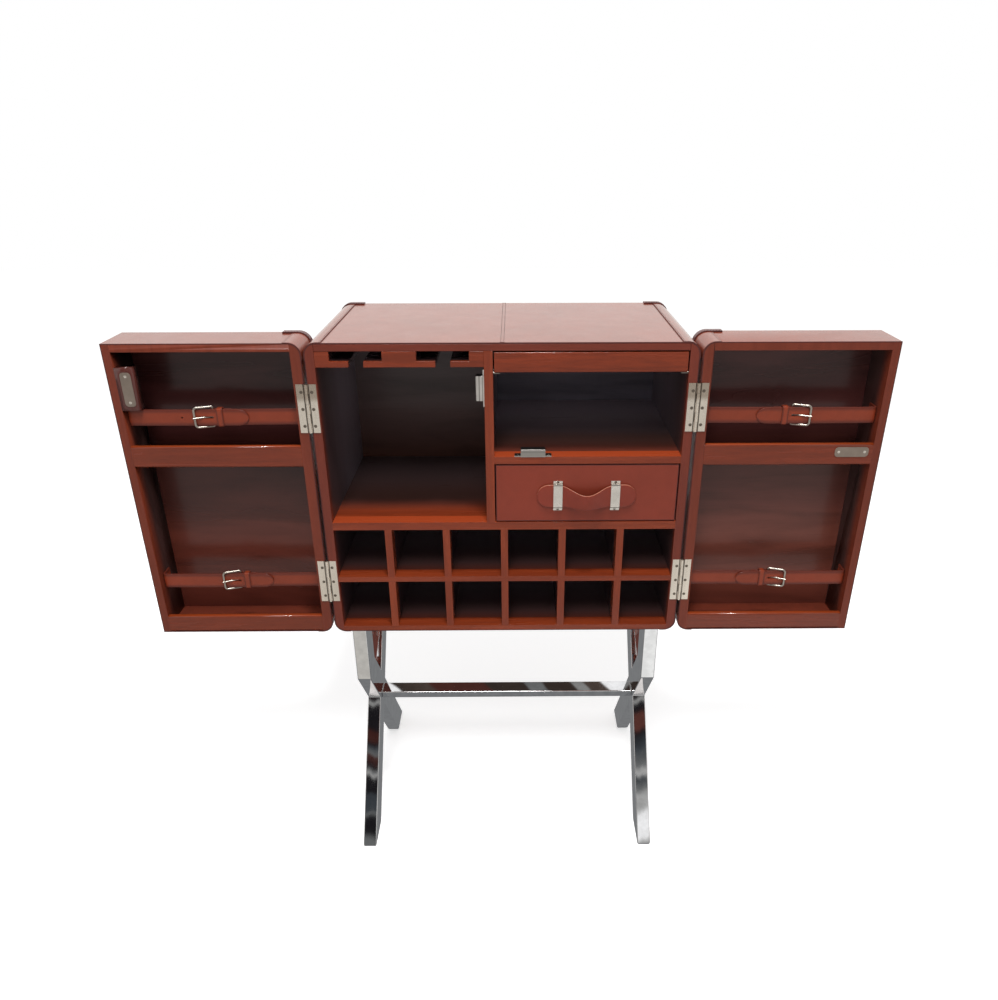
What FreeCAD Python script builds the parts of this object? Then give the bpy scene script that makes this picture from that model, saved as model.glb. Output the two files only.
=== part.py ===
import FreeCAD, Part
import math
import os

# Lengths are millimetres. +X is right, -Y is the front, +Z is up. The origin is on the
# floor, under the centre of the closed cabinet. Both doors are modelled swung fully open.

# Body, as seen from the front
WIDTH = 610.0
HEIGHT = 524.0
BODY_DEPTH = 312.0
DOOR_DEPTH = 78.0
STAND_HEIGHT = 442.0
EDGE_RADIUS = 20.0
HINGE_GAP = 3.0
CENTRE_GAP = 1.5

# Leather cover
BAND = 1.0
SKIN = 1.5
CAP = 1.5
BAND_WIDTH = 27.5
CAP_REACH = 44.0
CAP_RIM = 12.0
SEAM_WIDTH = 7.0
SEAM_RISE = 0.6

# Walls of the body, cover included, and its boards
SIDE_WALL = 16.0
TOP_WALL = 14.0
BOTTOM_WALL = 12.0
BACK_BOARD = 8.0
LIPPING = 25.0
PARTITION = 14.0
PARTITION_RIGHT_X = -15.0

# Bottle rack, drawer and slide openings, counted up from the floor board
CELL_HEIGHT = 91.0
BOTTLE_SHELF = 10.0
MAIN_SHELF = 14.0
DRAWER_OPENING = 105.5
DRAWER_SHELF = 12.5
CELL_DIVIDER = 12.0
CELL_COLUMNS = 6

# Glass rack
RAIL_HEIGHT = 25.0
RAIL_LIP = 9.5
RAIL_SLOT = 23.0
RAIL_HEAD = 81.0
RAIL_SLOT_OFFSET = 67.0

# Drawer
REVEAL = 2.0
DRAWER_FACE = 2.0
DRAWER_FRONT = 12.0
DRAWER_WALL = 10.0
DRAWER_WALL_HEIGHT = 85.0
DRAWER_BACK_GAP = 26.5
DRAWER_BASE = 6.0
DRAWER_BASE_LIFT = 4.0
SLIP_RISE = 1.8
SLIP_SETBACK = 20.0

# Handle of the drawer, measured from its own centre
HANDLE_X = 137.0
HANDLE_LIFT = 267.0
HANDLE_LENGTH = 164.0
HANDLE_HEIGHT = 40.0
HANDLE_THICK = 4.0
HANDLE_BOW = 14.0
HANDLE_DIP = 14.5
BRACKET_SPACING = 95.0
BRACKET_WIDTH = 15.0
BRACKET_HEIGHT = 53.0
BRACKET_THICK = 1.5
BRACKET_FIT = 0.2

# Pull-out serving slide
SLIDE_FRONT_HEIGHT = 31.5
SLIDE_FRONT = 12.0
SLIDE_BOARD = 12.0
SLIDE_BOARD_LIFT = 6.0
SLIDE_BACK_GAP = 28.5
RUNNER_WIDTH = 10.0
RUNNER_FIT = 0.2
PIN_RADIUS = 2.0
PIN_LENGTH = 11.0

# Magnetic catches and their strike plates
CATCH_LENGTH = 40.0
CATCH_HEIGHT = 13.0
CATCH_DEPTH = 15.0
CATCH_PROUD = 1.5
CATCH_PLATE = 2.0
CATCH_PLATE_LENGTH = 60.0
CATCH_PLATE_DEPTH = 12.0
CATCH_SCREW_OFFSET = 25.0
LEFT_CATCH_DROP = 73.0
RIGHT_CATCH_X = 48.0
STRIKE_LENGTH = 55.0
STRIKE_WIDTH = 17.0
STRIKE_THICK = 1.5
STRIKE_PROUD = 1.0
STRIKE_ROUND = 6.0
STRIKE_SCREW_OFFSET = 21.0
STRIKE_BLOCK_HEIGHT = 69.0
STRIKE_BLOCK_WIDTH = 28.0
STRIKE_FROM_EDGE = 29.0
STRIKE_BLOCK_DEPTH = 18.0

# Butt hinges
HINGE_LENGTH = 80.0
HINGE_INSET = 65.0
LEAF_WIDTH = 15.0
LEAF_THICK = 1.5
LEAF_PROUD = 1.0
LEAF_ROOT = 0.9
KNUCKLE_RADIUS = 2.5
KNUCKLE_COUNT = 5
KNUCKLE_GAP = 0.3
KNUCKLE_RELIEF = 0.5
HINGE_PIN_RADIUS = 1.2
RUNNING_FIT = 0.05
LEAF_SCREW_SHARES = (0.14, 0.49, 0.84)

# Screws: countersunk head radius, shank radius and length
SMALL_SCREW = (2.2, 1.3, 10.0)
LARGE_SCREW = (4.0, 2.0, 12.0)
RECESS_WIDTH = 0.6
RECESS_DEPTH = 0.5
RECESS_SHARE = 1.3

# Doors
DOOR_HINGE_WALL = 17.5
DOOR_FREE_WALL = 13.0
DOOR_PANEL = 8.0
UPPER_BIN = 180.5
DOOR_SHELF = 10.0
FASCIA_HEIGHT = 36.5
RAIL_THICK = 10.0
LIP_HEIGHT = 34.0

# Retaining straps of the doors, and their buckles
LOWER_STRAP_RISE = 88.0
UPPER_STRAP_RISE = 71.5
STRAP_WIDTH = 27.0
STRAP_THICK = 3.0
STRAP_SETBACK = 12.0
STRAP_TAB = 22.0
STRAP_FOLD = 30.0
FOLD_THICK = 2.0
STRAP_TIP_ROUND = 9.0
BUCKLE_SHARE = 0.56
KEEPER_BACK = 12.7
TIP_BACK = 57.7
KEEPER_LENGTH = 10.0
KEEPER_THICK = 1.8
KEEPER_FIT = 0.2
BUCKLE_SPAN = 27.5
BUCKLE_HEIGHT = 36.5
BUCKLE_WIRE = 1.75
BUCKLE_CORNER = 5.0
BUCKLE_HEEL_CORNER = 3.2
LOOP_THICK = 2.05
LOOP_FIT = 0.2
PRONG_RADIUS = 1.3
PRONG_EYE = 3.0
PRONG_EYE_HEIGHT = 5.0
PRONG_LIFT = 0.3
PRONG_PAST_BAR = 2.5
PRONG_SLOT = 0.6
PRONG_SLOT_START = 2.5
PRONG_SLOT_END = 20.0
EYE_SLOT = 0.4

# Stand
LEG_INSET = 27.0
LEG_THICK = 25.0
LEG_WIDTH = 50.8
LEG_REACH = 103.0
LEG_BEND_DROP = 116.0
STRETCHER_DEPTH = 31.0
STRETCHER_HEIGHT = 14.5
STRETCHER_LIFT = 213.0
PLATE_WIDTH = 40.0
PLATE_OVERHANG = 3.0
PLATE_THICK = 4.0
PLATE_INSET = 1.0
PLATE_SCREW_SHARES = (-0.8, -0.27, 0.27, 0.8)
PLATE_SCREW_INSET = 8.0
GLIDE_THICK = 2.0
GLIDE_INSET = 2.0

# Places that follow from the sizes
FRONT_Y = (DOOR_DEPTH + HINGE_GAP - BODY_DEPTH) / 2
BACK_Y = FRONT_Y + BODY_DEPTH
BACK_PANEL_Y = BACK_Y - SKIN - BACK_BOARD
BASE_Z = STAND_HEIGHT
TOP_Z = BASE_Z + HEIGHT
HALF_X = WIDTH / 2
COVER = BAND + SKIN
INNER_X = HALF_X - SIDE_WALL
FLOOR_Z = BASE_Z + BOTTOM_WALL
CEILING_Z = TOP_Z - TOP_WALL
BOTTLE_SHELF_Z = FLOOR_Z + CELL_HEIGHT
UPPER_CELL_Z = BOTTLE_SHELF_Z + BOTTLE_SHELF
MAIN_SHELF_Z = UPPER_CELL_Z + CELL_HEIGHT
MAIN_TOP_Z = MAIN_SHELF_Z + MAIN_SHELF
DRAWER_SHELF_Z = MAIN_TOP_Z + DRAWER_OPENING
DRAWER_SHELF_TOP_Z = DRAWER_SHELF_Z + DRAWER_SHELF
PARTITION_LEFT_X = PARTITION_RIGHT_X - PARTITION
CELL_WIDTH = (2 * INNER_X - (CELL_COLUMNS - 1) * CELL_DIVIDER) / CELL_COLUMNS
LIPPING_Y = FRONT_Y + LIPPING
SLIDE_Z = CEILING_Z - REVEAL - SLIDE_FRONT_HEIGHT
SLIDE_BOARD_Z = SLIDE_Z + SLIDE_BOARD_LIFT
DRAWER_Z = MAIN_TOP_Z + REVEAL
DRAWER_BACK_Y = BACK_PANEL_Y - DRAWER_BACK_GAP
SLIDE_BACK_Y = BACK_PANEL_Y - SLIDE_BACK_GAP
LEFT_CATCH_Z = TOP_Z - LEFT_CATCH_DROP
AXIS_X = -(HALF_X + HINGE_GAP / 2)
AXIS_Y = FRONT_Y - HINGE_GAP / 2
LEAF_Y = FRONT_Y - LEAF_PROUD
LEAF_SCREW_X = LEAF_ROOT + LEAF_WIDTH / 2
HINGE_LIFTS = (BASE_Z + HINGE_INSET, TOP_Z - HINGE_INSET - HINGE_LENGTH)
DOOR_WIDTH = HALF_X - CENTRE_GAP / 2
DOOR_OUTER_Y = FRONT_Y + DOOR_DEPTH
DOOR_PANEL_Y = DOOR_OUTER_Y - SKIN - DOOR_PANEL
DOOR_SHELF_TOP_Z = CEILING_Z - UPPER_BIN
DOOR_SHELF_Z = DOOR_SHELF_TOP_Z - DOOR_SHELF
STRAP_HEIGHTS = (FLOOR_Z + LOWER_STRAP_RISE, DOOR_SHELF_TOP_Z + UPPER_STRAP_RISE)
STRAP_Y = FRONT_Y + STRAP_SETBACK
UNDER_Y = STRAP_Y + STRAP_THICK
FOLD_Y = UNDER_Y + STRAP_THICK
LOOP_RADIUS = BUCKLE_WIRE + LOOP_FIT + LOOP_THICK
HEEL_U = BUCKLE_SHARE * DOOR_WIDTH - BUCKLE_SPAN / 2
KEEPER_U = HEEL_U - KEEPER_BACK
TIP_U = HEEL_U - TIP_BACK
HEEL_Y = UNDER_Y + LOOP_RADIUS
BAR_U = HEEL_U + BUCKLE_SPAN
BAR_Y = STRAP_Y - LOOP_FIT - BUCKLE_WIRE
BUCKLE_REACH = math.hypot(BUCKLE_SPAN, HEEL_Y - BAR_Y)
BUCKLE_TILT = math.atan2(HEEL_Y - BAR_Y, BUCKLE_SPAN)
LEG_X = HALF_X - LEG_INSET
FOOT_Y = BACK_Y + CAP
PLATE_TOP_Z = BASE_Z + BAND
PLATE_HALF = LEG_REACH + PLATE_OVERHANG
LEG_BEND_Z = BASE_Z - LEG_BEND_DROP
LEG_SPAN = FOOT_Y + LEG_REACH
LEG_FALL = LEG_BEND_Z - GLIDE_THICK
LEG_LEAN = math.atan2(LEG_SPAN, LEG_FALL) - math.asin(LEG_WIDTH / math.hypot(LEG_SPAN, LEG_FALL))
LEG_FOOT = LEG_WIDTH / math.cos(LEG_LEAN)
LEG_TOP_Z = PLATE_TOP_Z - PLATE_THICK

X_AXIS = FreeCAD.Vector(1, 0, 0)
Y_AXIS = FreeCAD.Vector(0, 1, 0)
Z_AXIS = FreeCAD.Vector(0, 0, 1)
ORIGIN = FreeCAD.Vector(0, 0, 0)


def vec(x, y, z):
    return FreeCAD.Vector(x, y, z)


def box(x_pair, y_pair, z_pair):
    low = vec(min(x_pair), min(y_pair), min(z_pair))
    high = vec(max(x_pair), max(y_pair), max(z_pair))
    size = high - low
    return Part.makeBox(size.x, size.y, size.z, low)


def place_on(axis, start):
    # Returns the map from a flat point (u, v) to space, on a plane square to the axis.
    places = {
        "x": lambda u, v: vec(start, u, v),
        "y": lambda u, v: vec(u, start, v),
        "z": lambda u, v: vec(u, v, start),
    }
    return places[axis]


def corner_arc(before, corner, after, radius):
    # The two ends and the middle of the arc that rounds one corner.
    a = before - corner
    b = after - corner
    a.normalize()
    b.normalize()
    half = a.getAngle(b) / 2
    middle = a + b
    middle.normalize()
    run = radius / math.tan(half)
    centre = corner + middle * (radius / math.sin(half))
    return corner + a * run, centre - middle * radius, corner + b * run


def outline(points, radii, place):
    spots = [place(u, v) for u, v in points]
    count = len(spots)
    arcs = []
    for i, radius in enumerate(radii):
        if radius > 0:
            arcs.append(corner_arc(spots[i - 1], spots[i], spots[(i + 1) % count], radius))
        else:
            arcs.append((spots[i], None, spots[i]))
    edges = []
    for i, (start, middle, end) in enumerate(arcs):
        if middle is not None:
            edges.append(Part.Arc(start, middle, end).toShape())
        edges.append(Part.makeLine(end, arcs[(i + 1) % count][0]))
    return Part.Wire(edges)


def prism(points, radii, axis, start, end):
    sweep = {"x": X_AXIS, "y": Y_AXIS, "z": Z_AXIS}[axis]
    wire = outline(points, radii, place_on(axis, start))
    return Part.Face(wire).extrude(sweep * (end - start))


def rectangle(x_pair, z_pair):
    x0, x1 = x_pair
    z0, z1 = z_pair
    return [(x0, z0), (x1, z0), (x1, z1), (x0, z1)]


def cut_all(shape, tools):
    for tool in tools:
        shape = shape.cut(tool)
    return shape


def mirrored(shape):
    return shape.mirror(ORIGIN, X_AXIS)


def both_sides(shapes):
    return shapes + [mirrored(shape) for shape in shapes]


def save(name, shapes):
    solids = []
    for shape in shapes:
        solids.extend(shape.Solids)
    body = solids[0] if len(solids) == 1 else Part.makeCompound(solids)
    body.exportStep("parts/" + name + ".step")


def screw(point, direction, size):
    # A countersunk screw with its head flush at the point and a cross recess.
    head, shank, length = size
    cone = Part.makeCone(head, shank, head - shank)
    body = cone.fuse(Part.makeCylinder(shank, length))
    arm = head * RECESS_SHARE / 2
    half = RECESS_WIDTH / 2
    along = box((-arm, arm), (-half, half), (0, RECESS_DEPTH))
    across = box((-half, half), (-arm, arm), (0, RECESS_DEPTH))
    body = body.cut(along.fuse(across))
    body.Placement = FreeCAD.Placement(point, FreeCAD.Rotation(Z_AXIS, direction))
    return body


def screw_hole(point, direction, size):
    head, shank, length = size
    body = Part.makeCone(head, shank, head - shank).fuse(Part.makeCylinder(shank, length))
    body.Placement = FreeCAD.Placement(point, FreeCAD.Rotation(Z_AXIS, direction))
    return body


def holes_for(spots):
    return [screw_hole(*spot) for spot in spots]


# Places of the screws, each a point on the head, a direction and a size


def leaf_screw_spots(side):
    # side is 1 for the body's leaf and -1 for the door's leaf, on the left pair.
    spots = []
    for low in HINGE_LIFTS:
        for share in LEAF_SCREW_SHARES:
            point = vec(AXIS_X + side * LEAF_SCREW_X, LEAF_Y, low + share * HINGE_LENGTH)
            spots.append((point, Y_AXIS, SMALL_SCREW))
    return spots


def left_catch_spots():
    spots = []
    for offset in (-CATCH_SCREW_OFFSET, CATCH_SCREW_OFFSET):
        point = vec(PARTITION_LEFT_X - CATCH_PLATE, catch_plate_y(), LEFT_CATCH_Z + offset)
        spots.append((point, X_AXIS, SMALL_SCREW))
    return spots


def right_catch_spots():
    spots = []
    for offset in (-CATCH_SCREW_OFFSET, CATCH_SCREW_OFFSET):
        point = vec(RIGHT_CATCH_X + offset, catch_plate_y(), DRAWER_SHELF_TOP_Z + CATCH_PLATE)
        spots.append((point, -Z_AXIS, SMALL_SCREW))
    return spots


def catch_plate_y():
    return FRONT_Y - CATCH_PROUD + CATCH_DEPTH / 2


def stand_screw_spots():
    # The left plate's screws; the right plate mirrors them.
    x = -(LEG_X - PLATE_INSET - PLATE_WIDTH + PLATE_SCREW_INSET)
    return [(vec(x, share * PLATE_HALF, LEG_TOP_Z), Z_AXIS, LARGE_SCREW) for share in PLATE_SCREW_SHARES]


def strap_tab_spots():
    # Where each strap's ends are screwed to the left door's two walls.
    spots = []
    for z in STRAP_HEIGHTS:
        hinge_x = door_x(DOOR_HINGE_WALL + STRAP_THICK)
        free_x = door_x(DOOR_WIDTH - DOOR_FREE_WALL - STRAP_THICK)
        y = UNDER_Y + STRAP_TAB / 2
        spots.append((vec(hinge_x, y, z), X_AXIS, SMALL_SCREW))
        spots.append((vec(free_x, y, z), -X_AXIS, SMALL_SCREW))
    return spots


def left_strike_spots():
    x = door_x(DOOR_WIDTH - STRIKE_FROM_EDGE)
    offsets = (-STRIKE_SCREW_OFFSET, STRIKE_SCREW_OFFSET)
    return [(vec(x, FRONT_Y - STRIKE_PROUD, LEFT_CATCH_Z + d), Y_AXIS, SMALL_SCREW) for d in offsets]


def right_strike_spots():
    # On the left door's own side of the mirror, so that the right door's build can flip it.
    x = door_x(DOOR_WIDTH - RIGHT_CATCH_X + CENTRE_GAP / 2)
    z = right_strike_z()
    offsets = (-STRIKE_SCREW_OFFSET, STRIKE_SCREW_OFFSET)
    return [(vec(x + d, FRONT_Y - STRIKE_PROUD, z), Y_AXIS, SMALL_SCREW) for d in offsets]


def right_strike_z():
    return DRAWER_SHELF_TOP_Z + CATCH_HEIGHT / 2


def bracket_spots():
    spots = []
    lift = BRACKET_HEIGHT / 2 - bracket_foot() / 2
    for side in (-1, 1):
        for end in (-1, 1):
            x = HANDLE_X + side * BRACKET_SPACING / 2
            z = BASE_Z + HANDLE_LIFT + end * lift
            spots.append((vec(x, FRONT_Y - BRACKET_THICK, z), Y_AXIS, SMALL_SCREW))
    return spots


# The body


def cabinet_block(inset, y_pair):
    x = HALF_X - inset
    points = rectangle((-x, x), (BASE_Z + inset, TOP_Z - inset))
    radius = EDGE_RADIUS - inset
    return prism(points, [radius, radius, radius, radius], "y", y_pair[0], y_pair[1])


def knuckle_relief():
    # Room for the left pair of barrels, over both hinges.
    radius = KNUCKLE_RADIUS + KNUCKLE_RELIEF
    reliefs = []
    for low in HINGE_LIFTS:
        start = vec(AXIS_X, AXIS_Y, low - KNUCKLE_GAP)
        reliefs.append(Part.makeCylinder(radius, HINGE_LENGTH + 2 * KNUCKLE_GAP, start, Z_AXIS))
    return reliefs


def leaf_boxes(side):
    near = AXIS_X + side * LEAF_ROOT
    far = AXIS_X + side * (LEAF_ROOT + LEAF_WIDTH)
    return [box((near, far), (LEAF_Y, LEAF_Y + LEAF_THICK), (z, z + HINGE_LENGTH)) for z in HINGE_LIFTS]


def carcass_board(x_pair, z_pair):
    shell = cabinet_block(COVER, (FRONT_Y, BACK_PANEL_Y))
    return shell.common(box(x_pair, (FRONT_Y, BACK_PANEL_Y), z_pair))


def carcass_sides():
    board = carcass_board((-HALF_X, -INNER_X), (BASE_Z, TOP_Z))
    tools = knuckle_relief() + leaf_boxes(1) + holes_for(leaf_screw_spots(1))
    return both_sides([cut_all(board, tools)])


def carcass_top():
    return [carcass_board((-INNER_X, INNER_X), (CEILING_Z, TOP_Z))]


def carcass_bottom():
    board = carcass_board((-INNER_X, INNER_X), (BASE_Z, FLOOR_Z))
    left = holes_for(stand_screw_spots())
    board = cut_all(board, both_sides(left))
    front = box((-INNER_X, INNER_X), (FRONT_Y, LIPPING_Y), (BASE_Z, FLOOR_Z))
    return [board.cut(front)], [board.common(front)]


def back_panel():
    return [cabinet_block(COVER, (BACK_PANEL_Y, BACK_Y - SKIN))]


def leather_cover():
    outer = cabinet_block(BAND, (FRONT_Y, BACK_Y - SKIN))
    ring = outer.cut(cabinet_block(COVER, (FRONT_Y, BACK_Y - SKIN)))
    tools = knuckle_relief() + leaf_boxes(1) + holes_for(stand_screw_spots())
    ring = cut_all(ring, both_sides(tools))
    return [ring, cabinet_block(BAND, (BACK_Y - SKIN, BACK_Y))]


def edge_corner_boxes(y_pair, x_reach, z_reach):
    # The two corner regions on the left side, top and bottom.
    x_pair = (-HALF_X - x_reach + BAND_WIDTH, -HALF_X + BAND_WIDTH)
    top = box(x_pair, y_pair, (TOP_Z - BAND_WIDTH, TOP_Z + z_reach))
    bottom = box(x_pair, y_pair, (BASE_Z - z_reach, BASE_Z + BAND_WIDTH))
    return [top, bottom]


def leather_bands():
    ring = cabinet_block(0, (FRONT_Y, BACK_Y)).cut(cabinet_block(BAND, (FRONT_Y, BACK_Y)))
    bands = [ring.common(region) for region in edge_corner_boxes((FRONT_Y, BACK_Y), WIDTH / 2, CAP)]
    half = SEAM_WIDTH / 2
    seam_z = TOP_Z - BAND
    seam = box((-half, half), (FRONT_Y, BACK_Y), (seam_z, seam_z + SEAM_RISE))
    return both_sides(bands) + [seam]


def corner_caps(core, grown, corners):
    # Leather caps: a quarter circle round each corner at the back, its rim turned over the edges.
    caps = []
    for corner in corners:
        disc = Part.makeCylinder(CAP_REACH, CAP_RIM + CAP, corner - Y_AXIS * CAP_RIM, Y_AXIS)
        caps.append(grown.common(disc).cut(core))
    return caps


def body_caps(cover, bands):
    grown = cabinet_block(-CAP, (BACK_Y - CAP_RIM, BACK_Y + CAP))
    core = cabinet_block(BAND, (FRONT_Y, BACK_Y)).fuse(bands)
    corners = [vec(-HALF_X, BACK_Y, TOP_Z), vec(-HALF_X, BACK_Y, BASE_Z)]
    return both_sides(corner_caps(core, grown, corners))


def shelf_pair(x_pair, z_pair):
    # A shelf board behind its polished front lipping.
    board = box(x_pair, (LIPPING_Y, BACK_PANEL_Y), z_pair)
    lipping = box(x_pair, (FRONT_Y, LIPPING_Y), z_pair)
    return board, lipping


def partition():
    board, lipping = shelf_pair((PARTITION_LEFT_X, PARTITION_RIGHT_X), (MAIN_TOP_Z, CEILING_Z))
    return board, cut_all(lipping, holes_for(left_catch_spots()))


def main_shelf():
    return shelf_pair((-INNER_X, INNER_X), (MAIN_SHELF_Z, MAIN_TOP_Z))


def bottle_shelf():
    return shelf_pair((-INNER_X, INNER_X), (BOTTLE_SHELF_Z, UPPER_CELL_Z))


def drawer_shelf():
    board, lipping = shelf_pair((PARTITION_RIGHT_X, INNER_X), (DRAWER_SHELF_Z, DRAWER_SHELF_TOP_Z))
    return board, cut_all(lipping, holes_for(right_catch_spots()))


def bottle_dividers():
    boards = []
    lippings = []
    for low in (FLOOR_Z, UPPER_CELL_Z):
        for i in range(CELL_COLUMNS - 1):
            x = -INNER_X + CELL_WIDTH + i * (CELL_WIDTH + CELL_DIVIDER)
            board, lipping = shelf_pair((x, x + CELL_DIVIDER), (low, low + CELL_HEIGHT))
            boards.append(board)
            lippings.append(lipping)
    return boards, lippings


def glass_rails():
    centre = (PARTITION_LEFT_X - INNER_X) / 2
    low = CEILING_Z - RAIL_HEIGHT
    step = low + RAIL_LIP
    slot = RAIL_SLOT_OFFSET - RAIL_SLOT / 2
    head = RAIL_SLOT_OFFSET - RAIL_HEAD / 2
    far_slot = RAIL_SLOT_OFFSET + RAIL_SLOT / 2
    far_head = RAIL_SLOT_OFFSET + RAIL_HEAD / 2
    wall = centre + INNER_X
    middle = [(-slot, low), (slot, low), (slot, step), (head, step)]
    middle += [(head, CEILING_Z), (-head, CEILING_Z), (-head, step), (-slot, step)]
    left = [(-wall, low), (-far_slot, low), (-far_slot, step), (-far_head, step)]
    left += [(-far_head, CEILING_Z), (-wall, CEILING_Z)]
    right = [(-u, v) for u, v in left]
    rails = []
    for shape in (left, middle, right):
        points = [(centre + u, v) for u, v in shape]
        rails.append(prism(points, [0] * len(points), "y", FRONT_Y, BACK_PANEL_Y))
    return rails


def slide_runners():
    front = FRONT_Y + SLIDE_FRONT + REVEAL
    y_pair = (front, SLIDE_BACK_Y)
    under = (SLIDE_Z, SLIDE_BOARD_Z - RUNNER_FIT)
    over = (SLIDE_BOARD_Z + SLIDE_BOARD + RUNNER_FIT, CEILING_Z)
    runners = []
    for wall, side in ((PARTITION_RIGHT_X, 1), (INNER_X, -1)):
        x_pair = (wall, wall + side * RUNNER_WIDTH)
        runners.append(box(x_pair, y_pair, under))
        runners.append(box(x_pair, y_pair, over))
    return runners


def slide_pins():
    z = SLIDE_Z - RUNNER_FIT - PIN_RADIUS
    y = FRONT_Y + SLIDE_FRONT / 2
    left = Part.makeCylinder(PIN_RADIUS, PIN_LENGTH, vec(PARTITION_RIGHT_X, y, z), X_AXIS)
    right = Part.makeCylinder(PIN_RADIUS, PIN_LENGTH, vec(INNER_X, y, z), -X_AXIS)
    return [left, right]


def drawer_slips():
    y_pair = (FRONT_Y + SLIP_SETBACK, DRAWER_BACK_Y)
    slips = []
    for wall, side in ((PARTITION_RIGHT_X, 1), (INNER_X, -1)):
        x_pair = (wall + side * REVEAL, wall + side * (REVEAL + DRAWER_WALL))
        slips.append(box(x_pair, y_pair, (MAIN_TOP_Z, MAIN_TOP_Z + SLIP_RISE)))
    return slips


def magnet_catch():
    # Built lying on a face at z = 0 with its length along x, its front at y = 0.
    half = CATCH_LENGTH / 2
    plate_half = CATCH_PLATE_LENGTH / 2
    slack = (CATCH_DEPTH - CATCH_PLATE_DEPTH) / 2
    body = box((-half, half), (0, CATCH_DEPTH), (0, CATCH_HEIGHT))
    edges = [e for e in body.Edges if e.BoundBox.ZMin > CATCH_HEIGHT / 2]
    body = body.makeChamfer(STRIKE_PROUD, edges)
    plate = box((-plate_half, plate_half), (slack, slack + CATCH_PLATE_DEPTH), (0, CATCH_PLATE))
    return body.fuse(plate).removeSplitter()


def magnet_catches():
    right = magnet_catch()
    right.translate(vec(RIGHT_CATCH_X, FRONT_Y - CATCH_PROUD, DRAWER_SHELF_TOP_Z))
    right = cut_all(right, holes_for(right_catch_spots()))
    left = magnet_catch()
    left.rotate(ORIGIN, Y_AXIS, -90)
    left.translate(vec(PARTITION_LEFT_X, FRONT_Y - CATCH_PROUD, LEFT_CATCH_Z))
    left = cut_all(left, holes_for(left_catch_spots()))
    return [left, right]


def hinge_leaves(side):
    # The left pair of leaves on one side of the axis, with their knuckles.
    leaves = []
    step = HINGE_LENGTH / KNUCKLE_COUNT
    first = 0 if side > 0 else 1
    bore = HINGE_PIN_RADIUS if side > 0 else HINGE_PIN_RADIUS + RUNNING_FIT
    clear = KNUCKLE_RADIUS + KNUCKLE_RELIEF
    for low, leaf in zip(HINGE_LIFTS, leaf_boxes(side)):
        for i in range(KNUCKLE_COUNT):
            z = low + i * step
            if i % 2 == first:
                start = vec(AXIS_X, AXIS_Y, z + KNUCKLE_GAP / 2)
                leaf = leaf.fuse(Part.makeCylinder(KNUCKLE_RADIUS, step - KNUCKLE_GAP, start, Z_AXIS))
            else:
                start = vec(AXIS_X, AXIS_Y, z - KNUCKLE_GAP / 2)
                leaf = leaf.cut(Part.makeCylinder(clear, step + KNUCKLE_GAP, start, Z_AXIS))
        hole = Part.makeCylinder(bore, HINGE_LENGTH, vec(AXIS_X, AXIS_Y, low), Z_AXIS)
        leaf = leaf.cut(hole)
        leaves.append(cut_all(leaf, holes_for(leaf_screw_spots(side))))
    return leaves


def hinge_pins():
    return [
        Part.makeCylinder(HINGE_PIN_RADIUS, HINGE_LENGTH, vec(AXIS_X, AXIS_Y, low), Z_AXIS)
        for low in HINGE_LIFTS
    ]


# The stand


def leg_frame():
    # Two flat bars of one width cross. Each leans from its foot to the bend, then stands upright.
    near = LEG_REACH - LEG_WIDTH
    near_bend = GLIDE_THICK + (FOOT_Y + near) / math.tan(LEG_LEAN)
    member = [(-LEG_REACH, LEG_TOP_Z), (-LEG_REACH, LEG_BEND_Z), (FOOT_Y - LEG_FOOT, GLIDE_THICK)]
    member += [(FOOT_Y, GLIDE_THICK), (-near, near_bend), (-near, LEG_TOP_Z)]
    other = [(-u, v) for u, v in member]
    flat = [0] * len(member)
    front = prism(member, flat, "x", -LEG_X, -LEG_X + LEG_THICK)
    rear = prism(other, flat, "x", -LEG_X, -LEG_X + LEG_THICK)
    return front.fuse(rear).removeSplitter()


def stretcher():
    x = LEG_X - LEG_THICK
    half = STRETCHER_DEPTH / 2
    return [box((-x, x), (-half, half), (STRETCHER_LIFT, STRETCHER_LIFT + STRETCHER_HEIGHT))]


def mounting_plates():
    outer = -(LEG_X - PLATE_INSET)
    plate = box((outer, outer + PLATE_WIDTH), (-PLATE_HALF, PLATE_HALF), (LEG_TOP_Z, PLATE_TOP_Z))
    return both_sides([cut_all(plate, holes_for(stand_screw_spots()))])


def foot_glides():
    x_pair = (-LEG_X + GLIDE_INSET, -LEG_X + LEG_THICK - GLIDE_INSET)
    glides = []
    for side in (-1, 1):
        y_pair = (side * (FOOT_Y - GLIDE_INSET), side * (FOOT_Y - LEG_FOOT + GLIDE_INSET))
        glides.append(box(x_pair, y_pair, (0, GLIDE_THICK)))
    return both_sides(glides)


# The drawer


def drawer_x():
    return PARTITION_RIGHT_X + REVEAL, INNER_X - REVEAL


def drawer_front():
    top = DRAWER_SHELF_Z - REVEAL
    face = box(drawer_x(), (FRONT_Y, FRONT_Y + DRAWER_FACE), (DRAWER_Z, top))
    back = FRONT_Y + DRAWER_FACE + DRAWER_FRONT
    board = box(drawer_x(), (FRONT_Y + DRAWER_FACE, back), (DRAWER_Z, top))
    holes = holes_for(bracket_spots())
    return [cut_all(face, holes)], [cut_all(board, holes)]


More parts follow.
